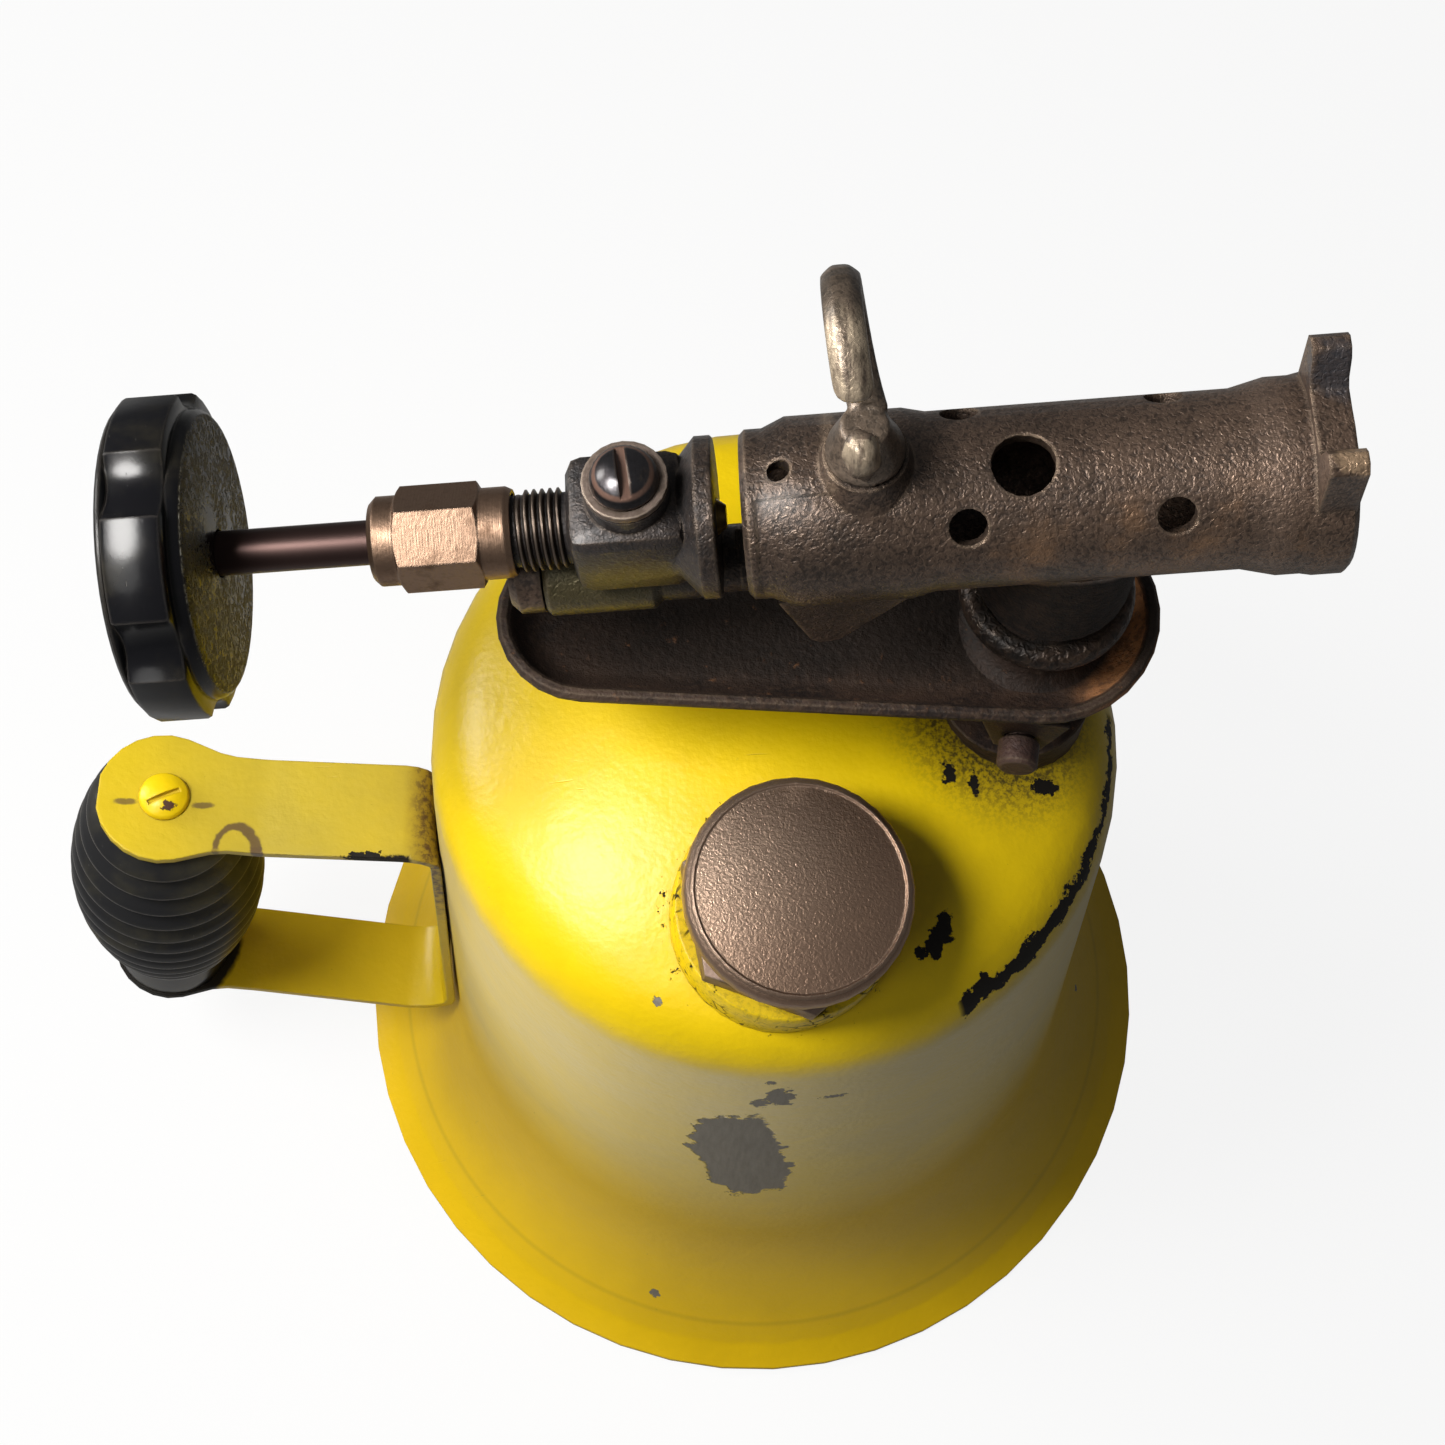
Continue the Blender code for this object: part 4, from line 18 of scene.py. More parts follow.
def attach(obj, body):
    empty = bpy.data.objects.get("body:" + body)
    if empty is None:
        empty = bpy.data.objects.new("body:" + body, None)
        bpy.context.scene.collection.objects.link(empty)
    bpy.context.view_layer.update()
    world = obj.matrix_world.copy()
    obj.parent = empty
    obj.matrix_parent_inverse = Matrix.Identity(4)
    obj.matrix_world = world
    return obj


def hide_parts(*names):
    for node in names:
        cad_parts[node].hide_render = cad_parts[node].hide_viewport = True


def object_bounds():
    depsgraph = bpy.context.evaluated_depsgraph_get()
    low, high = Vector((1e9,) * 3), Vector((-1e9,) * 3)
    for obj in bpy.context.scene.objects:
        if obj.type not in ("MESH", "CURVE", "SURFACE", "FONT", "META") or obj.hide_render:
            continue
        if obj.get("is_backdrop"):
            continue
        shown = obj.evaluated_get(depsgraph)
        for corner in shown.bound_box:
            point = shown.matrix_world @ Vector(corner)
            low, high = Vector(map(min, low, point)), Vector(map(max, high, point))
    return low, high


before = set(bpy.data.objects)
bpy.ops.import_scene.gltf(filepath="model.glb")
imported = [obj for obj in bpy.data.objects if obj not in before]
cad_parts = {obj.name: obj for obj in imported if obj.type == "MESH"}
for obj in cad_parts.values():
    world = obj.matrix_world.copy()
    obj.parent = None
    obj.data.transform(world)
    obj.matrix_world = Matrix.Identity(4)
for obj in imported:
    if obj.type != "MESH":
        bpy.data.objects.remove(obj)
LOG = logging.getLogger("torch")

Triple = tuple[float, float, float]
Socket = bpy.types.NodeSocket
Value = float | Triple | Socket


class Body(Enum):
    """The bodies that details ride on."""

    TORCH = "torch"
    WHEEL = "wheel"


class Slot(Enum):
    """The finishes that the torch's record names."""

    YELLOW_PAINT = "yellow_paint"
    TINNED_SHEET = "tinned_sheet"
    CAST_BRONZE = "cast_bronze"
    TURNED_BRONZE = "turned_bronze"
    BROWN_BRONZE = "brown_bronze"
    YELLOW_BRASS = "yellow_brass"
    WORN_IRON = "worn_iron"
    RUSTY_IRON = "rusty_iron"
    DARK_STEEL = "dark_steel"
    BLACK_MOULDING = "black_moulding"
    LEATHER = "leather"
    PACKING_CORD = "packing_cord"
    COTTON = "cotton"


def dimmed(colour: Triple, share: float) -> Triple:
    """Return a colour made darker.

    Args:
        colour: The colour.
        share: How much of it is left.

    Returns:
        The darker colour.
    """
    return tuple(part * share for part in colour)


def placed(middle: Vector, columns: Sequence[Vector], turn: float = 0.0) -> Matrix:
    """Return the matrix that lays a shape along given directions.

    Args:
        middle: Where the shape's own origin goes.
        columns: Where its X, Y and Z point.
        turn: How far it is turned about its own Z first, in radians.

    Returns:
        The matrix.
    """
    return Matrix.Translation(middle) @ Matrix(columns).transposed().to_4x4() @ Matrix.Rotation(turn, 4, "Z")


@dataclass(frozen=True)
class Line:
    """A straight line with an origin, a direction and an upward side."""

    origin: Triple
    along: Triple
    up: Triple

    def axes(self) -> tuple[Vector, Vector, Vector]:
        """Return the unit directions along, to the side and up."""
        along = Vector(self.along).normalized()
        side = Vector(self.up).cross(along).normalized()
        return along, side, along.cross(side)

    def point(self, along: float, side: float = 0.0, up: float = 0.0) -> Vector:
        """Return a place in the frame.

        Args:
            along: Distance from the origin along the line.
            side: Distance to the side.
            up: Distance upward.

        Returns:
            The place in metres.
        """
        a, s, u = self.axes()
        return Vector(self.origin) + a * along + s * side + u * up

    def turned(self) -> Matrix:
        """Return the matrix that lays a Z axis along the line."""
        a, s, u = self.axes()
        return placed(Vector(self.origin), (s, u, a))


TANK_LINE = Line((0.02212, 0.0, 0.0), (0.0, 0.0, 1.0), (1.0, 0.0, 0.0))
RISER_LINE = Line((0.05842, 0.0, 0.0), (0.0, 0.0, 1.0), (1.0, 0.0, 0.0))
PUMP_LINE = Line((0.02172, -0.0337, 0.1625), (0.10413, -0.08716, 0.99074), (0.99452, 0.0, -0.10453))
BURNER_LINE = Line((0.05842, 0.0, 0.2287), (0.99619, -0.00261, 0.08716), (-0.08716, 0.0, 0.99619))
SCREW_LINE = Line(tuple(BURNER_LINE.point(-0.0573)), BURNER_LINE.up, BURNER_LINE.along)
GRIP_LINE = Line((-0.0917, 0.0006, 0.04652), (0.1658, 0.01084, 0.9861), (0.9861, 0.0, -0.1658))


@dataclass(frozen=True)
class Cloud:
    """A cloudy pattern, and the levels that turn it into a mask.

    The size is a cloud's width in metres, detail counts the finer layers, rough is their strength, stretch has
    length factors along X, Y and Z, shift is a place in the pattern, and warp is how much the clouds swirl.
    """

    size: float
    detail: float = 3.0
    rough: float = 0.55
    levels: tuple[float, float] | None = None
    stretch: Triple | None = None
    shift: float = 0.0
    warp: float = 0.0


@dataclass(frozen=True)
class Chip:
    """A place where paint has come off, or a ragged spot."""

    centre: Triple
    radius: float
    ragged: float = 0.6
    squeeze: Triple = (1.0, 1.0, 1.0)
    soft: float = 0.04


class Weave:
    """Grows the shader network of one material."""

    shift_ways: Triple = (1.0, 0.7, 1.3)
    edge_samples: int = 4

    def __init__(self, name: str) -> None:
        """Start a material.

        Args:
            name: The material's name.
        """
        self.material = bpy.data.materials.new(name)
        self.material.use_nodes = True
        self.nodes = self.material.node_tree.nodes
        self.links = self.material.node_tree.links
        self.shader = self.nodes["Principled BSDF"]
        self.place = self.nodes.new("ShaderNodeTexCoord").outputs["Object"]

    def feed(self, socket: Socket, value: Value) -> None:
        """Link a socket or set its constant.

        Args:
            socket: The input.
            value: Another node's output, a number or a colour.
        """
        if isinstance(value, bpy.types.NodeSocket):
            self.links.new(value, socket)
        elif socket.type == "RGBA":
            socket.default_value = (*value, 1.0)
        else:
            socket.default_value = value

    def set(self, **values: Value) -> None:
        """Feed the shader's inputs, named with underscores for spaces.

        Args:
            **values: Input name and value.
        """
        for name, value in values.items():
            self.feed(self.shader.inputs[name.replace("_", " ")], value)

    def math(self, operation: str, *values: Value) -> Socket:
        """Return the result of a sum.

        Args:
            operation: The node's operation.
            *values: Its inputs.

        Returns:
            The output.
        """
        node = self.nodes.new("ShaderNodeMath")
        node.operation = operation
        for socket, value in zip(node.inputs, values):
            self.feed(socket, value)
        return node.outputs[0]

    def vector(self, operation: str, *values: Value) -> bpy.types.Node:
        """Return a vector step.

        Args:
            operation: The node's operation.
            *values: Its inputs.

        Returns:
            The node, with outputs Vector and Value.
        """
        node = self.nodes.new("ShaderNodeVectorMath")
        node.operation = operation
        for socket, value in zip(node.inputs, values):
            self.feed(socket, value)
        return node

    def offset(self, origin: Triple) -> Socket:
        """Return the place as seen from an origin.

        Args:
            origin: The origin in metres.

        Returns:
            The offset.
        """
        return self.vector("SUBTRACT", self.place, origin).outputs[0]

    def split(self, place: Socket | None = None) -> tuple[Socket, Socket, Socket]:
        """Return the X, Y and Z of a place.

        Args:
            place: Other coordinates than the object's.

        Returns:
            The three numbers.
        """
        node = self.nodes.new("ShaderNodeSeparateXYZ")
        self.feed(node.inputs[0], self.place if place is None else place)
        return node.outputs[0], node.outputs[1], node.outputs[2]

    def wander(self, cloud: Socket, width: float) -> Socket:
        """Return a length that drifts round nought.

        Args:
            cloud: The variation that it follows.
            width: How far it drifts in all, in metres.

        Returns:
            The length.
        """
        return self.math("MULTIPLY_ADD", cloud, width, -width / 2)

    def share(self, value: Value, low: float, high: float) -> Socket:
        """Return a smooth step from 0 at low to 1 at high.

        Args:
            value: The input.
            low: Where the result is 0.
            high: Where the result is 1.

        Returns:
            The step.
        """
        node = self.nodes.new("ShaderNodeMapRange")
        node.interpolation_type = "SMOOTHSTEP"
        if low > high:
            low, high = high, low
            node.inputs["To Min"].default_value = 1.0
            node.inputs["To Max"].default_value = 0.0
        self.feed(node.inputs["Value"], value)
        node.inputs["From Min"].default_value = low
        node.inputs["From Max"].default_value = high
        return node.outputs["Result"]

    def cloud(self, cloud: Cloud, place: Socket | None = None) -> Socket:
        """Return a cloudy pattern, as a mask where it has levels.

        Args:
            cloud: The pattern.
            place: Other coordinates than the object's.

        Returns:
            The variation around one half, or the mask.
        """
        spot = self.place if place is None else place
        if cloud.stretch is not None:
            spot = self.vector("DIVIDE", spot, cloud.stretch).outputs[0]
        if cloud.shift:
            spot = self.vector("ADD", spot, tuple(cloud.shift * way for way in self.shift_ways)).outputs[0]
        node = self.nodes.new("ShaderNodeTexNoise")
        self.feed(node.inputs["Vector"], spot)
        node.inputs["Scale"].default_value = 1.0 / cloud.size
        node.inputs["Detail"].default_value = cloud.detail
        node.inputs["Roughness"].default_value = cloud.rough
        node.inputs["Distortion"].default_value = cloud.warp
        return node.outputs["Fac"] if cloud.levels is None else self.share(node.outputs["Fac"], *cloud.levels)

    def cells(self, size: float, feature: str = "F1", shift: float = 0.0) -> Socket:
        """Return distances in a pattern of cells.

        Args:
            size: The width of a cell in metres.
            feature: F1, or DISTANCE_TO_EDGE for a net of lines.
            shift: A place in the pattern.

        Returns:
            The distance as a share of a cell.
        """
        node = self.nodes.new("ShaderNodeTexVoronoi")
        node.feature = feature
        spot = self.place
        if shift:
            spot = self.vector("ADD", spot, (shift, shift, shift)).outputs[0]
        self.feed(node.inputs["Vector"], spot)
        node.inputs["Scale"].default_value = 1.0 / size
        return node.outputs["Distance"]

    def mix(self, share: Value, first: Value, second: Value) -> Socket:
        """Return a colour between two.

        Args:
            share: How much of the second one shows.
            first: A colour.
            second: A colour.

        Returns:
            The mixed colour.
        """
        node = self.nodes.new("ShaderNodeMix")
        node.data_type = "RGBA"
        self.feed(node.inputs["Factor"], share)
        self.feed(node.inputs[6], first)
        self.feed(node.inputs[7], second)
        return node.outputs[2]

    def between(self, share: Value, first: Value, second: Value) -> Socket:
        """Return a number between two.

        Args:
            share: How much of the second one shows.
            first: A number.
            second: A number.

        Returns:
            The mixed number.
        """
        node = self.nodes.new("ShaderNodeMix")
        self.feed(node.inputs["Factor"], share)
        self.feed(node.inputs[2], first)
        self.feed(node.inputs[3], second)
        return node.outputs[0]

    def most(self, *values: Value) -> Socket:
        """Return the largest of some masks.

        Args:
            *values: The masks.

        Returns:
            The largest.
        """
        result = values[0]
        for value in values[1:]:
            result = self.math("MAXIMUM", result, value)
        return result

    def both(self, *values: Value) -> Socket:
        """Return the product of some masks.

        Args:
            *values: The masks.

        Returns:
            The product.
        """
        result = values[0]
        for value in values[1:]:
            result = self.math("MULTIPLY", result, value)
        return result

    def spot(self, chip: Chip) -> Socket:
        """Return a mask that is 1 inside a ragged spot.

        Args:
            chip: The spot. Its ragged and soft edges are shares of the radius.

        Returns:
            The mask.
        """
        offset = self.vector("DIVIDE", self.offset(chip.centre), chip.squeeze).outputs[0]
        reach = self.vector("LENGTH", offset).outputs["Value"]
        edge = self.cloud(Cloud(chip.radius * 0.9, 4.0, 0.65, shift=chip.centre[0] * 7))
        ragged = self.math("ADD", reach, self.wander(edge, chip.radius * chip.ragged * 4))
        return self.share(ragged, chip.radius * (1 + chip.soft), chip.radius * (1 - chip.soft))

    def along(self, line: Line) -> Socket:
        """Return the distance along a line.

        Args:
            line: The line.

        Returns:
            The distance in metres.
        """
        return self.vector("DOT_PRODUCT", self.offset(line.origin), tuple(line.axes()[0])).outputs["Value"]

    def around(self, line: Line) -> Socket:
        """Return the distance from a line.

        Args:
            line: The line.

        Returns:
            The distance in metres.
        """
        cross = self.vector("CROSS_PRODUCT", self.offset(line.origin), tuple(line.axes()[0])).outputs[0]
        return self.vector("LENGTH", cross).outputs["Value"]

    def azimuth(self, line: Line) -> Socket:
        """Return the angle round an upright line, from X towards Y.

        Args:
            line: The line.

        Returns:
            The angle in radians.
        """
        x, y, _ = self.split(self.offset(line.origin))
        return self.math("ARCTAN2", y, x)

    def band(self, value: Socket, middle: float, half: float, soft: float) -> Socket:
        """Return a mask that is 1 near a value.

        Args:
            value: The input.
            middle: The value in the middle of the band.
            half: Half the band's width.
            soft: The width of its soft edge.

        Returns:
            The mask.
        """
        off = self.math("ABSOLUTE", self.math("SUBTRACT", value, middle))
        return self.share(off, half + soft, max(half - soft, 0.0))

    def edges(self, width: float) -> Socket:
        """Return a mask of the edges, used for wear and, on the grip's ribs, for a painted highlight.

        Args:
            width: How far from an edge the wear reaches.

        Returns:
            The mask.
        """
        bevel = self.nodes.new("ShaderNodeBevel")
        bevel.samples = self.edge_samples
        bevel.inputs["Radius"].default_value = width
        flat = self.nodes.new("ShaderNodeNewGeometry").outputs["Normal"]
        agree = self.vector("DOT_PRODUCT", bevel.outputs[0], flat).outputs["Value"]
        return self.share(agree, 0.995, 0.86)

    def hollows(self, reach: float) -> Socket:
        """Return a mask of corners and crevices.

        Args:
            reach: How far other surfaces count.

        Returns:
            The mask.
        """
        node = self.nodes.new("ShaderNodeAmbientOcclusion")
        node.samples = self.edge_samples
        node.inputs["Distance"].default_value = reach
        return self.share(node.outputs["AO"], 0.85, 0.3)

    def relief(self, *layers: tuple[Value, float], soften: float = 0.0003) -> None:
        """Feed the normal with bumps over softened edges.

        Args:
            *layers: Height shares with their heights in metres.
            soften: The radius that sharp edges are eased by.
        """
        bevel = self.nodes.new("ShaderNodeBevel")
        bevel.samples = self.edge_samples
        bevel.inputs["Radius"].default_value = soften
        normal = bevel.outputs[0]
        for height, depth in layers:
            node = self.nodes.new("ShaderNodeBump")
            node.invert = depth < 0
            node.inputs["Distance"].default_value = abs(depth)
            self.feed(node.inputs["Height"], height)
            self.feed(node.inputs["Normal"], normal)
            normal = node.outputs[0]
        self.feed(self.shader.inputs["Normal"], normal)


@dataclass(frozen=True)
class Finish:
    """A surface that can be put on pieces."""

    name: str

    def material(self) -> bpy.types.Material:
        """Return the finish's material, made on first use."""
        found = bpy.data.materials.get(self.name)
        if found is not None:
            return found
        weave = Weave(self.name)
        self.paint(weave)
        return weave.material

    def paint(self, weave: Weave) -> None:
        """Grow the material's network.

        Args:
            weave: The network to grow.
        """
        raise NotImplementedError


@dataclass(frozen=True)
class YellowPaint(Finish):
    """Semi gloss brushed enamel with chips, scratches, soot and grime, and masks from the caller that add
    painted shade and painted reflection.
    """

    dark_chips: tuple[Chip, ...] = ()
    bare_chips: tuple[Chip, ...] = ()
    extra: Callable[[Weave], tuple[Socket, Socket]] | None = None
    dust_and_light: Callable[[Weave], Socket] | None = None
    dust_and_light_colour: Triple = (0.52, 0.43, 0.20)
    dust_and_light_share: float = 0.35
    veil_sheen: float = 0.58
    sheen_tint: Triple = (1.0, 0.96, 0.84)
    colour: Triple = (0.86, 0.60, 0.002)
    warm: Triple = (0.80, 0.46, 0.002)
    dirty: Triple = (0.42, 0.29, 0.02)
    smoke_and_shade: Triple = (0.030, 0.022, 0.010)
    primer: Triple = (0.010, 0.008, 0.006)
    metal: Triple = (0.36, 0.33, 0.28)
    warm_heights: tuple[float, float] = (0.090, 0.035)
    warm_share: float = 0.45
    roughness: float = 0.36
    film: float = 0.00025
    clouds: Cloud = Cloud(0.020, 5.0, 0.6)
    patches: Cloud = Cloud(0.016, 3.0, 0.6, (0.50, 0.70), shift=2.0)
    specks: Cloud = Cloud(0.0016, 5.0, 0.7, (0.66, 0.74))
    pores: Cloud = Cloud(0.0007, 3.0, 0.7, (0.70, 0.76), shift=4.4)
    scratches: Cloud = Cloud(0.0009, 2.0, 0.6, (0.72, 0.78), (14.0, 1.0, 5.0), 3.0)
    brushing: Cloud = Cloud(0.0008, 3.0, 0.6, None, (1.0, 1.0, 9.0), 1.0)
    orange_peel: Cloud = Cloud(0.006, 2.0)
    fine: Cloud = Cloud(0.0011, 2.0, 0.5)

    def paint(self, weave: Weave) -> None:
        """Grow the enamel."""
        cloud = weave.cloud(self.clouds)
        soot, worn = self.extra(weave) if self.extra is not None else (0.0, 0.0)
        scratch = weave.cloud(self.scratches)
        grime = self.grime(weave, scratch)
        colour = weave.mix(weave.share(cloud, 0.35, 0.75), self.colour, dimmed(self.colour, 0.88))
        low = weave.share(weave.split()[2], *self.warm_heights)
        colour = weave.mix(weave.both(low, self.warm_share), colour, self.warm)
        # A second colour is mixed in over this mask: on the tank's wall a dust film with a painted reflection
        # of the pale floor, on the bracket's upper arm painted shade. The sheen set below is a real sheen lobe
        # over the same mask.
        if self.dust_and_light is not None:
            dust_and_light = weave.both(self.dust_and_light(weave), weave.between(weave.share(cloud, 0.3, 0.7), 0.7, 1.0))
            colour = weave.mix(weave.both(dust_and_light, self.dust_and_light_share), colour, self.dust_and_light_colour)
        colour = weave.mix(weave.both(weave.cloud(self.pores), 0.45), colour, dimmed(self.colour, 0.35))
        colour = weave.mix(grime, colour, self.dirty)
        # The first mask from extra also carries painted shade: a groove line near the tank's rim, and the
        # bracket's staked dents.
        colour = weave.mix(soot, colour, self.smoke_and_shade)
        dark = weave.most(worn, *(weave.spot(chip) for chip in self.dark_chips))
        bare = weave.most(0.0, *(weave.spot(chip) for chip in self.bare_chips))
        brushed = weave.mix(weave.cloud(self.brushing), dimmed(self.metal, 0.55), self.metal)
        colour = weave.mix(bare, weave.mix(dark, colour, self.primer), brushed)
        off = weave.most(dark, bare)
        if self.dust_and_light is not None:
            sheen = weave.both(dust_and_light, weave.math("SUBTRACT", 1.0, off), self.veil_sheen)
            weave.set(Sheen_Weight=sheen, Sheen_Roughness=0.35, Sheen_Tint=self.sheen_tint)
        rough = weave.between(off, weave.between(grime, self.roughness, 0.6), 0.62)
        weave.set(Base_Color=colour, Roughness=rough, Metallic=weave.both(bare, 0.7))
        weave.set(Specular_IOR_Level=weave.between(off, 0.42, 0.2))
        waves, fine = weave.cloud(self.orange_peel), weave.cloud(self.fine)
        weave.relief((waves, 0.00012), (fine, 0.00006), (off, -self.film), (scratch, -0.00003), soften=0.0005)

    def grime(self, weave: Weave, scratch: Socket) -> Socket:
        """Return the dirt in specks, corners and scratches.

        Args:
            weave: The paint's network.
            scratch: The scratches.

        Returns:
            The dirt's mask.
        """
        patchy = weave.cloud(self.patches)
        speck = weave.both(weave.cloud(self.specks), patchy, 0.5)
        return weave.most(speck, weave.both(weave.hollows(0.012), 0.55), weave.both(scratch, patchy, 0.55))


@dataclass(frozen=True)
class CastSkin(Finish):
    """Brown patinated casting skin with a fine worm like grain and worn edges."""

    dark: Triple = (0.024, 0.017, 0.013)
    light: Triple = (0.160, 0.103, 0.072)
    worn: Triple = (0.36, 0.26, 0.18)
    crevice: Triple = (0.012, 0.009, 0.007)
    clouds: Cloud = Cloud(0.011, 5.0, 0.62)
    blotches: Cloud = Cloud(0.0035, 4.0, 0.6, shift=4.0)
    grain: float = 0.00062
    depth: float = 0.00024
    coat: float = 0.38
    tints: Callable[[Weave, Socket], Socket] | None = None
    lighter: Callable[[Weave], Socket] | None = None
    raised: Callable[[Weave], Socket] | None = None
    soot_and_shade: Callable[[Weave], Socket] | None = None

    def paint(self, weave: Weave) -> None:
        """Grow the casting skin."""
        worms = weave.cloud(Cloud(self.grain, 1.5, 0.5, warp=0.7))
        pits = weave.share(weave.cells(self.grain * 3.5), 0.16, 0.05)
        blotch = weave.cloud(self.blotches)
        tone = weave.math("ADD", weave.both(weave.cloud(self.clouds), 0.6), weave.both(blotch, 0.4))
        tone = weave.share(tone, 0.36, 0.66)
        if self.lighter is not None:
            tone = weave.math("MULTIPLY_ADD", self.lighter(weave), 0.62, weave.both(tone, 0.38))
        colour = weave.mix(tone, self.dark, self.light)
        crest = weave.share(worms, 0.50, 0.66)
        valley = weave.share(worms, 0.50, 0.34)
        colour = weave.mix(weave.both(valley, 0.55), colour, dimmed(self.dark, 0.4))
        colour = weave.mix(weave.both(crest, 0.10), colour, self.worn)
        rubbed = weave.both(weave.edges(0.0008), weave.share(blotch, 0.3, 0.62), 0.8)
        colour = weave.mix(rubbed, colour, self.worn)
        hollow = weave.hollows(0.006)
        colour = weave.mix(weave.both(hollow, 0.75), colour, self.crevice)
        if self.tints is not None:
            colour = self.tints(weave, colour)
        if self.raised is not None:
            land = self.raised(weave)
            brink = weave.both(land, weave.math("SUBTRACT", 1.0, land), 4.0)
            colour = weave.mix(weave.both(brink, weave.share(blotch, 0.3, 0.6), 0.55), colour, self.worn)
        rough = weave.between(crest, 0.46, 0.34)
        dull = hollow if self.soot_and_shade is None else weave.most(hollow, self.soot_and_shade(weave))
        weave.set(Base_Color=colour, Metallic=0.55, Roughness=weave.between(dull, rough, 0.8))
        weave.set(Coat_Weight=weave.between(dull, self.coat, 0.0), Coat_Roughness=0.32)
        layers = [(blotch, 0.00025), (worms, self.depth), (pits, -0.00006)]
        if self.raised is not None:
            layers.insert(0, (land, 0.00035))
        weave.relief(*layers, soften=0.0008)


@dataclass(frozen=True)
class TurnedMetal(Finish):
    """Metal turned on a lathe, with fine rings, patina and brighter edges."""

    line: Line = BURNER_LINE
    colour: Triple = (0.36, 0.25, 0.18)
    patina: Triple = (0.13, 0.085, 0.06)
    bright: Triple = (0.62, 0.46, 0.34)
    patina_share: float = 0.5
    roughness: float = 0.38
    rings: float = 0.00004
    grain: float = 0.0
    ridges: tuple[float, ...] = ()
    crown: float = 0.0
    gloss: float = 0.0
    metallic: float = 0.92
    sunk: tuple[Line, float, Triple] | None = None
    highlight_spot: Chip | None = None
    clouds: Cloud = Cloud(0.006, 5.0, 0.65)
    turning: Cloud = Cloud(0.00028, 3.0, 0.6)
    fine: Cloud = Cloud(0.0007, 4.0, 0.6, shift=2.0)

    def paint(self, weave: Weave) -> None:
        """Grow the turned surface."""
        along = weave.along(self.line)
        around = weave.around(self.line)
        node = weave.nodes.new("ShaderNodeCombineXYZ")
        weave.feed(node.inputs[0], along)
        weave.feed(node.inputs[1], around)
        rings = weave.cloud(self.turning, node.outputs[0])
        fine = weave.cloud(self.fine)
        less = self.patina_share * 0.5
        patina = weave.share(weave.cloud(self.clouds), 0.72 - less, 0.92 - less)
        colour = weave.mix(patina, self.colour, self.patina)
        colour = weave.mix(weave.both(weave.share(fine, 0.45, 0.75), 0.35), colour, self.patina)
        colour = weave.mix(weave.both(weave.edges(0.0005), 0.7), colour, self.bright)
        hollow = weave.hollows(0.004)
        colour = weave.mix(weave.both(hollow, 0.7), colour, dimmed(self.patina, 0.15))
        rough = weave.between(patina, self.roughness, self.roughness + 0.12)
        # a soft lighter spot on the knob's upper left: painted highlight
        if self.highlight_spot is not None:
            colour = weave.mix(weave.both(weave.spot(self.highlight_spot), 0.7), colour, self.bright)
        if self.sunk is not None:
            line, level, tint = self.sunk
            low = weave.share(weave.along(line), level + 0.0002, level - 0.0001)
            low = weave.both(low, weave.share(weave.around(line), 0.0041, 0.0038))
            colour = weave.mix(low, colour, tint)
            rough = weave.between(low, rough, 0.7)
        weave.set(Base_Color=colour, Metallic=self.metallic, Roughness=rough)
        weave.set(Coat_Weight=self.gloss, Coat_Roughness=0.22, Coat_IOR=1.9)
        layers = [(rings, self.rings), (fine, 0.00003)]
        if self.grain:
            layers.append((weave.cloud(Cloud(self.grain, 2.0, 0.6, warp=0.5)), 0.00011))
        if self.crown:
            layers.append((weave.both(around, around, 1.0 / self.crown ** 2), -0.0011))
        for radius in self.ridges:
            layers.append((weave.band(around, radius, 0.00012, 0.00018), 0.00010))
        weave.relief(*layers, soften=0.0004)


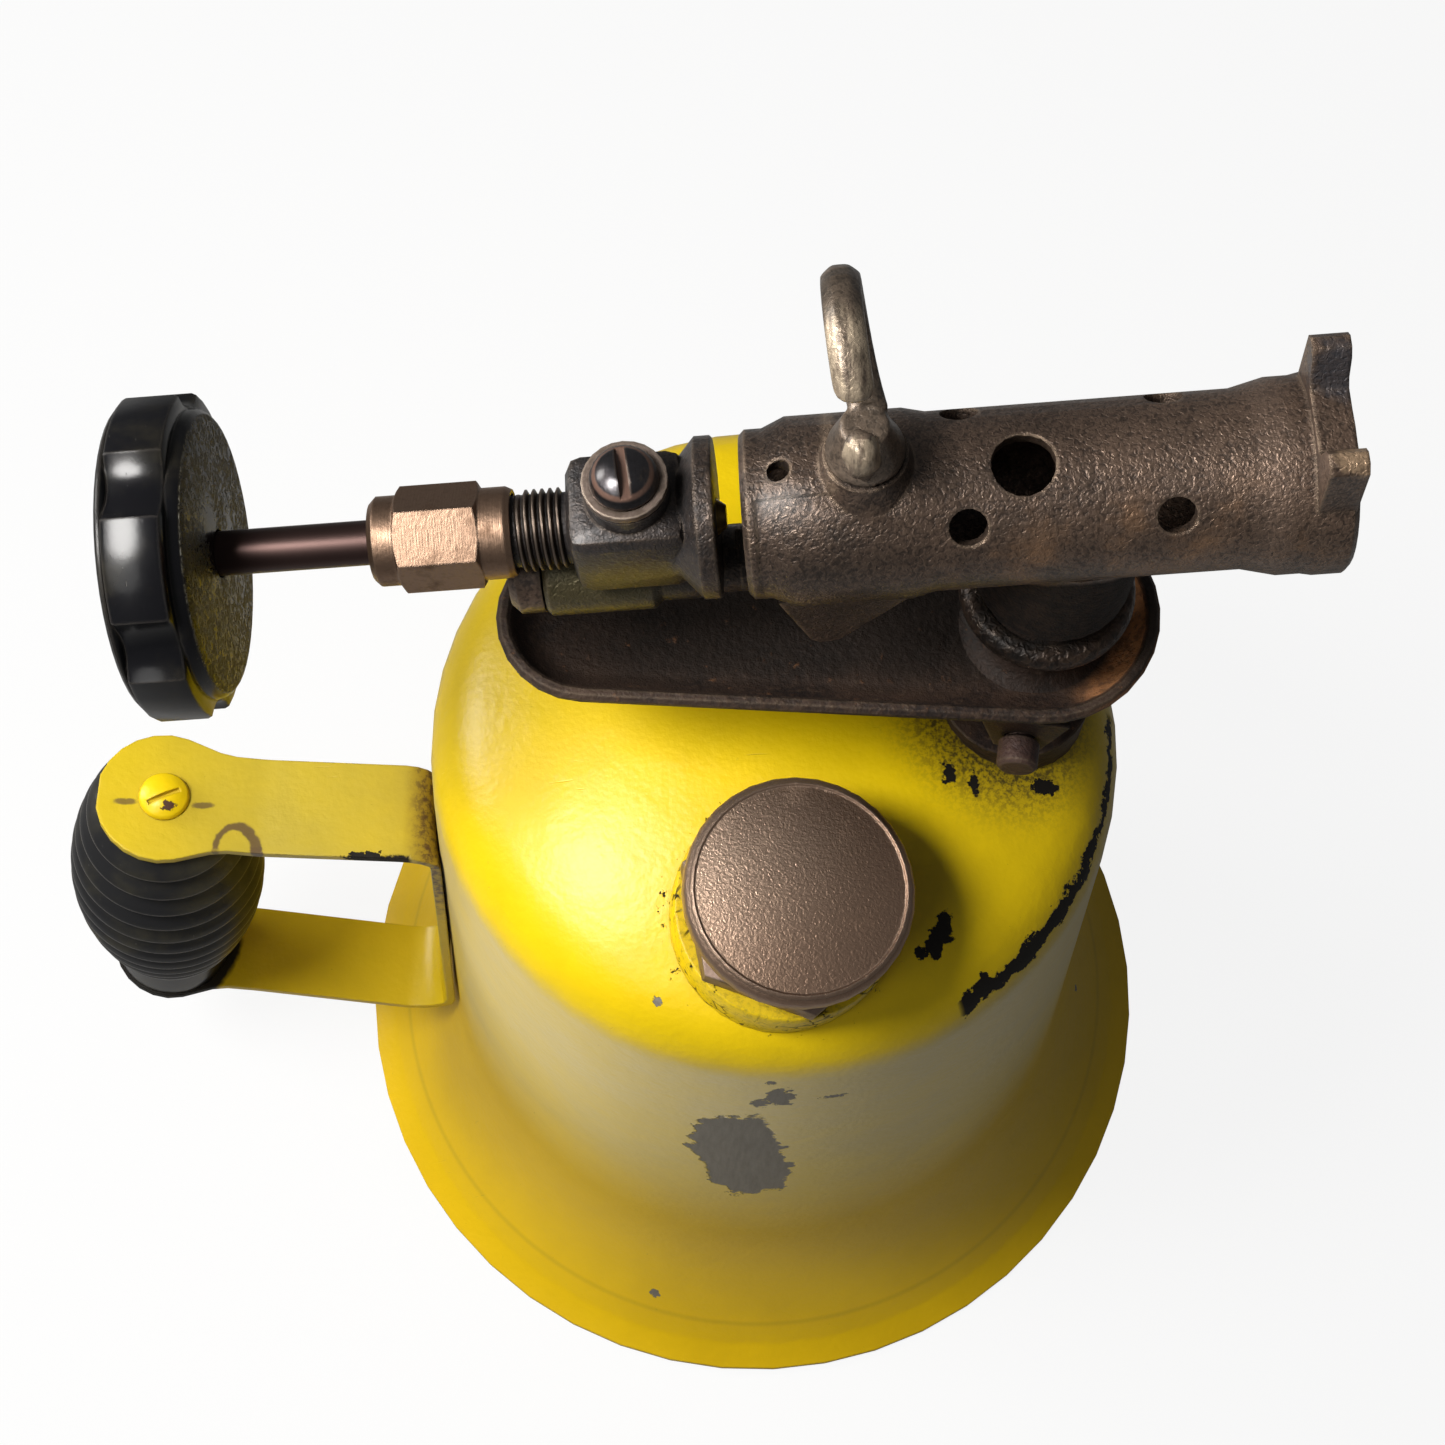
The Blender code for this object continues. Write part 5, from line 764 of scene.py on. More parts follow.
@dataclass(frozen=True)
class BlackGloss(Finish):
    """Moulded black plastic with scratches, wear with a painted highlight on the grip's rib edges, painted
    shade in grooves and corners, and dust where the line says.
    """

    line: Line = BURNER_LINE
    dust_from: float | None = None
    dusty_radii: tuple[float, float] = (0.006, 0.014)
    dust_mask: Callable[[Weave], Socket] | None = None
    dust: Triple = (0.085, 0.072, 0.040)
    black: Triple = (0.004, 0.004, 0.005)
    scratched: Triple = (0.10, 0.095, 0.085)
    rubbed: Triple = (0.16, 0.14, 0.12)
    crevice: Triple = (0.001, 0.001, 0.001)
    roughness: float = 0.20
    shine: float = 0.28
    edge_wear_and_glint: float = 0.25
    clouds: Cloud = Cloud(0.010, 4.0, 0.6)
    scratches: Cloud = Cloud(0.0007, 3.0, 0.7, (0.70, 0.76), (1.0, 6.0, 14.0))
    nicks: Cloud = Cloud(0.0012, 4.0, 0.7, (0.70, 0.75), shift=5.0)
    cracks: Cloud = Cloud(0.0011, 4.0, 0.7, (0.42, 0.56), shift=1.5, warp=1.2)
    stains: Cloud = Cloud(0.0080, 4.0, 0.7, (0.36, 0.58), shift=3.5)
    crust: Cloud = Cloud(0.0010, 3.0, 0.6, shift=8.0, warp=0.6)

    def paint(self, weave: Weave) -> None:
        """Grow the moulded plastic."""
        cloud = weave.cloud(self.clouds)
        marks = weave.most(weave.cloud(self.scratches), weave.cloud(self.nicks))
        colour = weave.mix(weave.both(marks, 0.8), self.black, self.scratched)
        dust = weave.both(weave.share(cloud, 0.45, 0.8), 0.18)
        if self.dust_from is not None:
            face = weave.share(weave.along(self.line), self.dust_from - 0.0006, self.dust_from - 0.0001)
            rim = weave.share(weave.around(self.line), *self.dusty_radii)
            crack = weave.between(weave.cloud(self.cracks), 0.15, 1.0)
            stain = weave.between(weave.cloud(self.stains), rim, 1.0)
            dust = weave.most(dust, weave.both(face, crack, stain))
        if self.dust_mask is not None:
            dust = weave.most(dust, self.dust_mask(weave))
        # lighter edges: wear, and on the grip's ribs a painted highlight along the crests
        colour = weave.mix(weave.both(weave.edges(0.0006), self.edge_wear_and_glint), colour, self.rubbed)
        colour = weave.mix(dust, colour, self.dust)
        # darken grooves and corners to near black, with less shine: painted shade
        hollow = weave.hollows(0.004)
        colour = weave.mix(weave.both(hollow, 0.9), colour, self.crevice)
        rough = weave.between(dust, weave.between(marks, self.roughness, 0.5), 0.60)
        shine = weave.between(hollow, self.shine, 0.05)
        weave.set(Base_Color=colour, Roughness=rough, Specular_IOR_Level=shine)
        crust = weave.both(weave.cloud(self.crust), weave.share(dust, 0.2, 0.6))
        weave.relief((cloud, 0.00006), (marks, -0.00003), (crust, 0.00050), soften=0.0004)


@dataclass(frozen=True)
class RustyIron(Finish):
    """Blackened cast iron with rust, a worn lip and, where a shadow mask is given, a painted shadow."""

    dark: Triple = (0.020, 0.013, 0.011)
    brown: Triple = (0.070, 0.040, 0.026)
    rust: Triple = (0.40, 0.17, 0.06)
    lip: Triple = (0.20, 0.15, 0.10)
    # Colour of the painted shadow of the burner tube, laid where the shadow mask is given.
    soot: Triple = (0.014, 0.009, 0.006)
    crevice: Triple = (0.010, 0.007, 0.006)
    clouds: Cloud = Cloud(0.012, 5.0, 0.65)
    fine: Cloud = Cloud(0.0011, 4.0, 0.65, shift=3.0)
    specks: Cloud = Cloud(0.0024, 5.0, 0.7, (0.62, 0.74), shift=1.0)
    rust_mask: Callable[[Weave], Socket] | None = None
    tube_shadow_mask: Callable[[Weave], Socket] | None = None

    def paint(self, weave: Weave) -> None:
        """Grow the iron."""
        cloud = weave.cloud(self.clouds)
        fine = weave.cloud(self.fine)
        colour = weave.mix(weave.share(cloud, 0.35, 0.7), self.dark, self.brown)
        colour = weave.mix(weave.both(weave.share(fine, 0.42, 0.62), 0.75), colour, self.brown)
        colour = weave.mix(weave.both(weave.share(fine, 0.60, 0.72), 0.30), colour, self.lip)
        colour = weave.mix(weave.both(weave.edges(0.0008), weave.share(cloud, 0.3, 0.6), 0.7), colour, self.lip)
        rust = weave.both(weave.cloud(self.specks), 0.35)
        if self.rust_mask is not None:
            rust = weave.most(rust, self.rust_mask(weave))
        # darken the tray's floor under the tube: painted shadow
        if self.tube_shadow_mask is not None:
            colour = weave.mix(self.tube_shadow_mask(weave), colour, self.soot)
        colour = weave.mix(rust, colour, self.rust)
        hollow = weave.hollows(0.005)
        colour = weave.mix(weave.both(hollow, 0.6), colour, self.crevice)
        weave.set(Base_Color=colour, Metallic=weave.between(rust, 0.45, 0.0))
        weave.set(Roughness=weave.between(rust, weave.between(fine, 0.5, 0.75), 0.9))
        weave.relief((cloud, 0.0002), (fine, 0.00030), (rust, 0.0001), soften=0.0005)


@dataclass(frozen=True)
class Fibre(Finish):
    """Leather, cord or cotton."""

    colour: Triple = (0.2, 0.12, 0.06)
    grain: float = 0.0008

    def paint(self, weave: Weave) -> None:
        """Grow the fibrous surface."""
        fine = weave.cloud(Cloud(self.grain, 4.0, 0.7, stretch=(1.0, 1.0, 3.0)))
        colour = weave.mix(fine, dimmed(self.colour, 0.5), self.colour)
        weave.set(Base_Color=colour, Roughness=0.9)
        weave.relief((fine, 0.00015))


def dress(
    node: str,
    finish: Finish,
    angle: float = math.radians(30),
    cutters: Sequence[bpy.types.Object] = (),
) -> bpy.types.Object:
    """Put a finish on a solid of the frame and smooth its shading.

    Args:
        node: The solid's name.
        finish: The finish.
        angle: The angle above which an edge stays sharp.
        cutters: Hidden shapes that are cut out of it.

    Returns:
        The solid.
    """
    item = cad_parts[node]
    mesh = item.data
    mesh.materials.clear()
    mesh.materials.append(finish.material())
    for name in ("custom_normal", "sharp_edge", "sharp_face"):
        if name in mesh.attributes:
            mesh.attributes.remove(mesh.attributes[name])
    mesh.shade_smooth()
    weld = item.modifiers.new("weld", "WELD")
    weld.merge_threshold = 0.000004
    for cutter in cutters:
        cut = item.modifiers.new("cut", "BOOLEAN")
        cut.object = cutter
        cut.solver = "EXACT"
    split = item.modifiers.new("edges", "EDGE_SPLIT")
    split.split_angle = angle
    LOG.info("dressed %s in %s", node, finish.name)
    return item


def add_piece(name: str, bm: bmesh.types.BMesh, finish: Finish, body: Body) -> bpy.types.Object:
    """Add a piece of detail.

    Args:
        name: The piece's name.
        bm: Its shape in the frame's coordinates.
        finish: Its finish.
        body: The body that it rides on.

    Returns:
        The piece.
    """
    bmesh.ops.recalc_face_normals(bm, faces=bm.faces)
    mesh = bpy.data.meshes.new(name)
    bm.to_mesh(mesh)
    bm.free()
    mesh.shade_smooth()
    mesh.materials.append(finish.material())
    item = bpy.data.objects.new(name, mesh)
    bpy.context.scene.collection.objects.link(item)
    split = item.modifiers.new("edges", "EDGE_SPLIT")
    split.split_angle = math.radians(35)
    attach(item, body.value)
    LOG.info("made %s on %s", name, body.value)
    return item


def add_cutter(name: str, size: Triple, matrix: Matrix, body: Body) -> bpy.types.Object:
    """Add a hidden block that cuts a slot.

    Args:
        name: The cutter's name.
        size: Its size along its own axes.
        matrix: Its place.
        body: The body that it rides on.

    Returns:
        The cutter.
    """
    bm = bmesh.new()
    bmesh.ops.create_cube(bm, size=1.0)
    bmesh.ops.scale(bm, vec=size, verts=bm.verts)
    bmesh.ops.transform(bm, matrix=matrix, verts=bm.verts)
    mesh = bpy.data.meshes.new(name)
    bm.to_mesh(mesh)
    bm.free()
    item = bpy.data.objects.new(name, mesh)
    bpy.context.scene.collection.objects.link(item)
    item.hide_render = True
    item.display_type = "WIRE"
    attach(item, body.value)
    return item


def turned_ring(line: Line, outline: Sequence[tuple[float, float]], segments: int = 64) -> bmesh.types.BMesh:
    """Return a closed outline spun round a line.

    Args:
        line: The line.
        outline: Radius and place along the line of each corner.
        segments: The number of steps round.

    Returns:
        The shape.
    """
    bm = bmesh.new()
    rows = []
    for i in range(segments):
        angle = math.tau * i / segments
        rows.append([bm.verts.new((r * math.cos(angle), r * math.sin(angle), z)) for r, z in outline])
    for row, after in zip(rows, rows[1:] + rows[:1]):
        for k in range(len(outline)):
            following = (k + 1) % len(outline)
            bm.faces.new((row[k], row[following], after[following], after[k]))
    bmesh.ops.transform(bm, matrix=line.turned(), verts=bm.verts)
    return bm


def helix_ridge(
    line: Line, start: float, end: float, root: float, crest: float, pitch: float, steps: int = 40
) -> bmesh.types.BMesh:
    """Return a thread's ridge wound round a line.

    Args:
        line: The line.
        start: Where the thread starts along the line.
        end: Where it ends.
        root: The radius at the ridge's foot.
        crest: The radius at its crest.
        pitch: The advance in one turn.
        steps: The number of steps in one turn.

    Returns:
        The shape.
    """
    bm = bmesh.new()
    count = int((end - start - pitch * 0.9) / pitch * steps)
    section = ((root, -0.46), (root, 0.46), (crest, 0.10), (crest, -0.10))
    rows = []
    for i in range(count + 1):
        angle = math.tau * i / steps
        middle = start + pitch * 0.46 + pitch * i / steps
        fade = min(1.0, i / (steps * 0.4), (count - i) / (steps * 0.4))
        row = []
        for radius, across in section:
            r = root + (radius - root) * fade
            row.append(bm.verts.new((r * math.cos(angle), r * math.sin(angle), middle + pitch * across)))
        rows.append(row)
    for row, after in zip(rows, rows[1:]):
        for k in range(4):
            following = (k + 1) % 4
            bm.faces.new((row[k], row[following], after[following], after[k]))
    bmesh.ops.transform(bm, matrix=line.turned(), verts=bm.verts)
    return bm


def lump(centre: Vector, axes: Sequence[Vector], sizes: Triple, rough: float, seed: float) -> bmesh.types.BMesh:
    """Return an uneven rounded lump.

    Args:
        centre: Its middle.
        axes: Three directions.
        sizes: Its radii along them.
        rough: How uneven it is, as a share of its radii.
        seed: A place in the random pattern.

    Returns:
        The shape.
    """
    bm = bmesh.new()
    bmesh.ops.create_icosphere(bm, subdivisions=4, radius=1.0)
    for vert in bm.verts:
        swell = 1.0 + rough * noise.noise(vert.co * 1.6 + Vector((seed, seed, seed)))
        x, y, z = vert.co * swell
        vert.co = centre + axes[0] * x * sizes[0] + axes[1] * y * sizes[1] + axes[2] * z * sizes[2]
    return bm


@dataclass(frozen=True)
class Lamp:
    """A round soft light that faces the torch."""

    name: str
    place: Triple
    size: float
    power: float


@dataclass
class Studio:
    """Floor, sky, light and camera."""

    floor_size: float = 60.0
    floor_drop: float = 0.00005
    sky: float = 0.07
    sky_colour: Triple = (0.96, 0.98, 1.0)
    lamp_colour: Triple = (1.0, 0.985, 0.96)
    glossy_share: float = 0.08
    floor_glow: float = 0.88
    floor_grey: Triple = (0.36, 0.36, 0.36)
    floor_white: Triple = (0.95, 0.95, 0.95)
    lamps: tuple[Lamp, ...] = (
        Lamp("near_light", (-0.178, -0.050, 0.466), 0.125, 1.42),
        Lamp("left_light", (-0.780, 0.330, 0.560), 0.36, 4.6),
        Lamp("front_light", (-0.420, -0.420, 0.800), 0.40, 1.1),
    )
    aim: Triple = (0.0221, 0.0, 0.15)
    eye: Triple = (0.00212, -0.1437, 0.5157)
    eye_right: Triple = (0.9988, -0.0477, 0.0129)
    eye_back: Triple = (-0.0296, -0.3678, 0.9294)
    lens: float = 62.284
    film: float = 36.0
    near: float = 0.01

    def build(self) -> None:
        """Build the whole studio."""
        self.build_floor()
        self.build_sky()
        self.build_lights()
        self.build_camera()

    def seen(self, tree: bpy.types.NodeTree) -> Socket:
        """Return how much of the white a ray meets.

        Args:
            tree: The network that the nodes go in.

        Returns:
            1 for the camera and for see through rays, and a share for reflections.
        """
        rays = tree.nodes.new("ShaderNodeLightPath")
        shine = tree.nodes.new("ShaderNodeMath")
        shine.operation = "MULTIPLY_ADD"
        tree.links.new(rays.outputs["Is Glossy Ray"], shine.inputs[0])
        shine.inputs[1].default_value = self.glossy_share
        tree.links.new(rays.outputs["Is Camera Ray"], shine.inputs[2])
        total = tree.nodes.new("ShaderNodeMath")
        total.operation = "ADD"
        total.use_clamp = True
        tree.links.new(shine.outputs[0], total.inputs[0])
        tree.links.new(rays.outputs["Is Transmission Ray"], total.inputs[1])
        return total.outputs[0]

    def build_floor(self) -> None:
        """Lay the pale floor under the torch, clear when seen from below."""
        mesh = bpy.data.meshes.new("floor")
        half = self.floor_size / 2
        corners = [(-half, -half, 0), (half, -half, 0), (half, half, 0), (-half, half, 0)]
        mesh.from_pydata(corners, [], [(0, 1, 2, 3)])
        material = Weave("pale_floor").material
        tree = material.node_tree
        glow = tree.nodes.new("ShaderNodeEmission")
        share = tree.nodes.new("ShaderNodeMath")
        share.operation = "MULTIPLY"
        tree.links.new(self.seen(tree), share.inputs[0])
        share.inputs[1].default_value = self.floor_glow
        pale = tree.nodes.new("ShaderNodeBsdfDiffuse")
        tint = tree.nodes.new("ShaderNodeMix")
        tint.data_type = "RGBA"
        tree.links.new(share.outputs[0], tint.inputs["Factor"])
        tint.inputs[6].default_value = (*self.floor_grey, 1.0)
        tint.inputs[7].default_value = (*self.floor_white, 1.0)
        tree.links.new(tint.outputs[2], pale.inputs["Color"])
        mix = tree.nodes.new("ShaderNodeMixShader")
        tree.links.new(share.outputs[0], mix.inputs[0])
        tree.links.new(pale.outputs[0], mix.inputs[1])
        tree.links.new(glow.outputs[0], mix.inputs[2])
        below = tree.nodes.new("ShaderNodeMixShader")
        side = tree.nodes.new("ShaderNodeNewGeometry")
        tree.links.new(side.outputs["Backfacing"], below.inputs[0])
        tree.links.new(mix.outputs[0], below.inputs[1])
        tree.links.new(tree.nodes.new("ShaderNodeBsdfTransparent").outputs[0], below.inputs[2])
        tree.links.new(below.outputs[0], tree.nodes["Material Output"].inputs["Surface"])
        mesh.materials.append(material)
        floor = bpy.data.objects.new("floor", mesh)
        floor.location.z = -self.floor_drop
        bpy.context.scene.collection.objects.link(floor)
        floor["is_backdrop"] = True

    def build_sky(self) -> None:
        """Light the scene evenly and show white behind it."""
        world = bpy.data.worlds.new("sky")
        world.use_nodes = True
        tree = world.node_tree
        glow = tree.nodes["Background"]
        glow.inputs["Color"].default_value = (*self.sky_colour, 1.0)
        glow.inputs["Strength"].default_value = self.sky
        white = tree.nodes.new("ShaderNodeBackground")
        white.inputs["Color"].default_value = (1.0, 1.0, 1.0, 1.0)
        mix = tree.nodes.new("ShaderNodeMixShader")
        tree.links.new(self.seen(tree), mix.inputs[0])
        tree.links.new(glow.outputs[0], mix.inputs[1])
        tree.links.new(white.outputs[0], mix.inputs[2])
        tree.links.new(mix.outputs[0], tree.nodes["World Output"].inputs["Surface"])
        bpy.context.scene.world = world

    def build_lights(self) -> None:
        """Hang the soft lights at the left and in front."""
        for lamp in self.lamps:
            data = bpy.data.lights.new(lamp.name, "AREA")
            data.shape = "DISK"
            data.size = lamp.size
            data.energy = lamp.power
            data.color = self.lamp_colour
            item = bpy.data.objects.new(lamp.name, data)
            item.location = lamp.place
            aim = Vector(self.aim) - item.location
            item.rotation_mode = "QUATERNION"
            item.rotation_quaternion = aim.to_track_quat("-Z", "Y")
            bpy.context.scene.collection.objects.link(item)

    def build_camera(self) -> None:
        """Place the camera in front of and above the torch."""
        back = Vector(self.eye_back).normalized()
        up = back.cross(Vector(self.eye_right)).normalized()
        right = up.cross(back)
        data = bpy.data.cameras.new("camera")
        data.lens = self.lens
        data.sensor_width = self.film
        data.clip_start = self.near
        camera = bpy.data.objects.new("camera", data)
        turn = Matrix((right, up, back)).transposed().to_4x4()
        camera.matrix_world = Matrix.Translation(Vector(self.eye)) @ turn
        bpy.context.scene.collection.objects.link(camera)
        bpy.context.scene.camera = camera


BRASS = TurnedMetal(
    "yellow_brass", line=PUMP_LINE, colour=(0.62, 0.45, 0.17), patina=(0.30, 0.20, 0.08),
    bright=(0.8, 0.62, 0.3), patina_share=0.35,
)
DARK_STEEL = TurnedMetal(
    "dark_steel", line=BURNER_LINE, colour=(0.20, 0.125, 0.115), patina=(0.085, 0.045, 0.038),
    bright=(0.30, 0.22, 0.18), roughness=0.30, gloss=1.0, patina_share=0.45,
)


LEATHER = Fibre("leather", colour=(0.13, 0.075, 0.04))

STRIP_HEIGHT = 0.1484
STRIP_HALVES = (0.00085, 0.00165)
PUMP_RING_RADIUS = 0.0181
RIM_LINE_RADIUS = 0.0722


def tank_dust_and_reflection(weave: Weave) -> Socket:
    """Return the pale dust film and painted reflection of the pale floor on the tank's wall.

    Args:
        weave: The paint's network.

    Returns:
        The mask of the film and the painted reflection.
    """
    drift = weave.wander(weave.cloud(Cloud(0.020, 3.0, 0.6, shift=9.0)), 0.004)
    level = weave.math("ADD", weave.split()[2], drift)
    return weave.both(weave.share(level, 0.040, 0.132), weave.share(level, 0.1472, 0.1425))


def bracket_arm_shade(weave: Weave) -> Socket:
    """Return the painted shade on the bracket's upper arm, darker towards the tank.

    Args:
        weave: The paint's network.

    Returns:
        The painted shade's mask.
    """
    x, _, z = weave.split()
    return weave.both(weave.share(z, 0.100, 0.115), weave.share(x, -0.088, -0.058))


def tank_wear(weave: Weave) -> tuple[Socket, Socket]:
    """Return the tank's soot with a thin dark ring near the rim that is painted shade of a groove, and its long
    strip of lost paint.

    Args:
        weave: The paint's network.

    Returns:
        The mask of soot and groove shade, and the lost paint's mask.
    """
    azimuth = weave.azimuth(TANK_LINE)
    height = weave.split()[2]
    drift = weave.wander(weave.cloud(Cloud(0.0030, 5.0, 0.72, shift=0.4)), 0.0072)
    half = weave.between(weave.share(azimuth, -0.35, -0.80), *STRIP_HALVES)
    off = weave.math("ABSOLUTE", weave.math("SUBTRACT", weave.math("ADD", height, drift), STRIP_HEIGHT))
    run = weave.both(weave.share(azimuth, -1.075, -1.055), weave.share(azimuth, 0.02, -0.02))
    strip = weave.both(weave.share(weave.math("SUBTRACT", off, half), 0.00008, -0.00008), run)
    pump_ring = weave.band(weave.around(PUMP_LINE), PUMP_RING_RADIUS, 0.0010, 0.0004)
    crumbs = weave.cloud(Cloud(0.0022, 5.0, 0.7, (0.62, 0.66), shift=6.0))
    near_pump = weave.share(weave.along(PUMP_LINE), -0.012, -0.008)
    worn = weave.most(strip, weave.both(pump_ring, crumbs, near_pump))
    speck = weave.cloud(Cloud(0.0007, 4.0, 0.7, (0.40, 0.62), shift=1.2))
    riser = weave.share(weave.around(RISER_LINE), 0.028, 0.013)
    top = weave.share(height, 0.150, 0.157)
    soot = weave.both(riser, riser, top, weave.between(speck, 0.45, 1.0), 0.95)
    # a thin dark ring near the rim: painted shade of a groove, mixed into the soot mask
    rim = weave.band(weave.around(TANK_LINE), RIM_LINE_RADIUS, 0.00025, 0.0004)
    return weave.most(soot, weave.both(rim, weave.share(height, 0.02, 0.015), 0.14)), worn


# Places of the staked dents by the bolt, painted as dark slits: painted shade of the dents.
BOLT_STAKES: tuple[Chip, ...] = (
    Chip((-0.0846, 0.0006, 0.1264), 0.0011, 0.25, (1.7, 0.50, 1.5), 0.3),
    Chip((-0.0722, 0.0001, 0.1243), 0.0011, 0.25, (1.7, 0.50, 1.5), 0.3),
)
BURN_PLACE: Triple = (-0.0668, -0.0070, 0.1236)
BURN_RADIUS = 0.0033
BURN_LEGS: tuple[tuple[Chip, float], ...] = (
    (Chip((-0.0701, -0.0088, 0.1242), 0.0014, 0.3, (0.40, 1.6, 2.0), 0.3), 0.6),
    (Chip((-0.0634, -0.0084, 0.1230), 0.0014, 0.4, (0.75, 1.2, 2.0), 0.15), 0.9),
)


def horseshoe(weave: Weave) -> Socket:
    """Return the brown horseshoe burnt in the bracket's paint.

    Args:
        weave: The paint's network.

    Returns:
        The mask.
    """
    offset = weave.offset(BURN_PLACE)
    across, back, _ = weave.split(offset)
    reach = weave.vector("LENGTH", offset).outputs["Value"]
    drift = weave.wander(weave.cloud(Cloud(0.0030, 3.0, 0.6, shift=3.1)), 0.0016)
    thick = weave.between(weave.share(across, -0.002, 0.003), 0.0, 0.0004)
    off = weave.math("ABSOLUTE", weave.math("SUBTRACT", weave.math("ADD", reach, drift), BURN_RADIUS))
    bow = weave.share(weave.math("SUBTRACT", off, thick), 0.0008, 0.0003)
    bow = weave.both(bow, weave.share(back, -0.0012, -0.0002))
    mark = weave.both(bow, 0.85)
    for leg, strength in BURN_LEGS:
        mark = weave.most(mark, weave.both(weave.spot(leg), strength))
    return mark


def bracket_wear(weave: Weave) -> tuple[Socket, Socket]:
    """Return the bracket's grime and burns with painted shade in its staked dents, and its dark upper edge.

    Args:
        weave: The paint's network.

    Returns:
        The mask of grime, burns and dent shade, and the lost paint's mask.
    """
    x, y, z = weave.split()
    speck = weave.cloud(Cloud(0.0014, 5.0, 0.7, (0.42, 0.62), shift=2.2))
    bend = weave.share(x, -0.0395, -0.0352)
    grime = weave.both(bend, weave.between(speck, 0.3, 1.0), weave.share(z, 0.085, 0.105))
    ragged = weave.math("ADD", y, weave.both(weave.cloud(Cloud(0.0035, 4.0, 0.7)), 0.0030))
    edge = weave.share(ragged, -0.0078, -0.0082)
    left, right = weave.share(x, -0.0556, -0.0545), weave.share(x, -0.0376, -0.0386)
    run = weave.both(left, right, weave.share(z, 0.1192, 0.1198))
    # dark slits at the stakes: painted shade of the dents, which the shape does not have
    stake_shade = (weave.spot(stake) for stake in BOLT_STAKES)
    mark = weave.most(horseshoe(weave), weave.both(weave.most(*stake_shade), 0.75))
    return weave.most(grime, mark), weave.both(edge, run)


@dataclass
class Tank:
    """The bell shaped tank with its bottom, and the filler's bush, gasket and plug."""

    paint: YellowPaint = YellowPaint(
        "tank_paint",
        dark_chips=(
            Chip((0.0454, -0.0345, 0.1562), 0.0012, 0.6),
            Chip((0.0448, -0.0367, 0.1557), 0.0018, 0.5),
            Chip((0.0434, -0.0386, 0.1555), 0.0016, 0.5),
            Chip((0.0416, -0.0394, 0.1553), 0.0010, 0.6),
            Chip((0.0475, -0.0125, 0.1602), 0.0013, 0.8, (0.8, 1.5, 1.0)),
            Chip((0.0513, -0.0143, 0.1592), 0.0009, 0.9, (0.8, 1.9, 1.0)),
            Chip((0.0626, -0.0140, 0.1558), 0.0015, 0.6, (1.5, 0.9, 1.0)),
        ),
        bare_chips=(
            Chip((0.0140, -0.0555, 0.1040), 0.0079, 0.30, (1.0, 8.0, 2.1)),
            Chip((0.0160, -0.0575, 0.0880), 0.0074, 0.30, (1.0, 8.0, 2.1)),
            Chip((0.0186, -0.0549, 0.1408), 0.0008),
            Chip((0.0204, -0.0554, 0.1330), 0.0022, 0.6, (1.0, 4.0, 1.9)),
            Chip((0.0172, -0.0553, 0.1297), 0.0011, 0.6, (1.3, 1.0, 2.0)),
            Chip((0.0289, -0.0551, 0.1313), 0.0008, 0.8, (2.4, 1.0, 1.0)),
            Chip((0.0018, -0.0445, 0.1529), 0.0007),
            Chip((-0.0011, -0.0657, 0.0124), 0.0010),
            Chip((0.0877, -0.0088, 0.0189), 0.0007),
        ),
        extra=tank_wear,
        dust_and_light=tank_dust_and_reflection,
    )
    sheet: TurnedMetal = TurnedMetal(
        "tinned_sheet", line=TANK_LINE, colour=(0.42, 0.41, 0.38), patina=(0.22, 0.20, 0.17),
        bright=(0.6, 0.6, 0.56), patina_share=0.5, roughness=0.45,
    )

    def build(self) -> None:
        """Dress the tank and its filler."""
        dress("tank_shell", self.paint)
        dress("tank_bottom", self.sheet)
        dress("filler_bush", BRASS)
        dress("filler_gasket", LEATHER)
        dress("filler_plug", BRASS)


@dataclass
class Pump:
    """The hand pump: ring, cap, barrel, rod, piston, knob and check valve."""

    # The knob's soft lighter spot at its upper left is a painted highlight.
    bronze: TurnedMetal = TurnedMetal(
        "knob_bronze", line=PUMP_LINE, colour=(0.33, 0.215, 0.150), patina=(0.27, 0.175, 0.120),
        bright=(0.50, 0.37, 0.28), patina_share=0.35, roughness=0.42, rings=0.00001, grain=0.0005,
        ridges=(0.0155,), crown=0.0169, highlight_spot=Chip((0.0135, -0.0285, 0.1860), 0.0150, 0.1, soft=0.8),
    )
    cap_bronze: TurnedMetal = TurnedMetal(
        "cap_bronze", line=PUMP_LINE, colour=(0.26, 0.185, 0.145), patina=(0.12, 0.08, 0.06),
        bright=(0.50, 0.38, 0.28), patina_share=0.5, roughness=0.45,
    )

    def build(self) -> None:
        """Dress the pump."""
        dress("pump_bung", YellowPaint("bung_paint", extra=pump_ring_wear))
        dress("pump_cap", self.cap_bronze)
        dress("pump_knob", self.bronze)
        dress("piston_cup", LEATHER)
        for node in ("pump_rod", "check_valve_ball", "check_valve_spring"):
            dress(node, DARK_STEEL)
        for node in ("piston_plate", "piston_nut", "pump_barrel", "check_valve_body"):
            dress(node, BRASS)


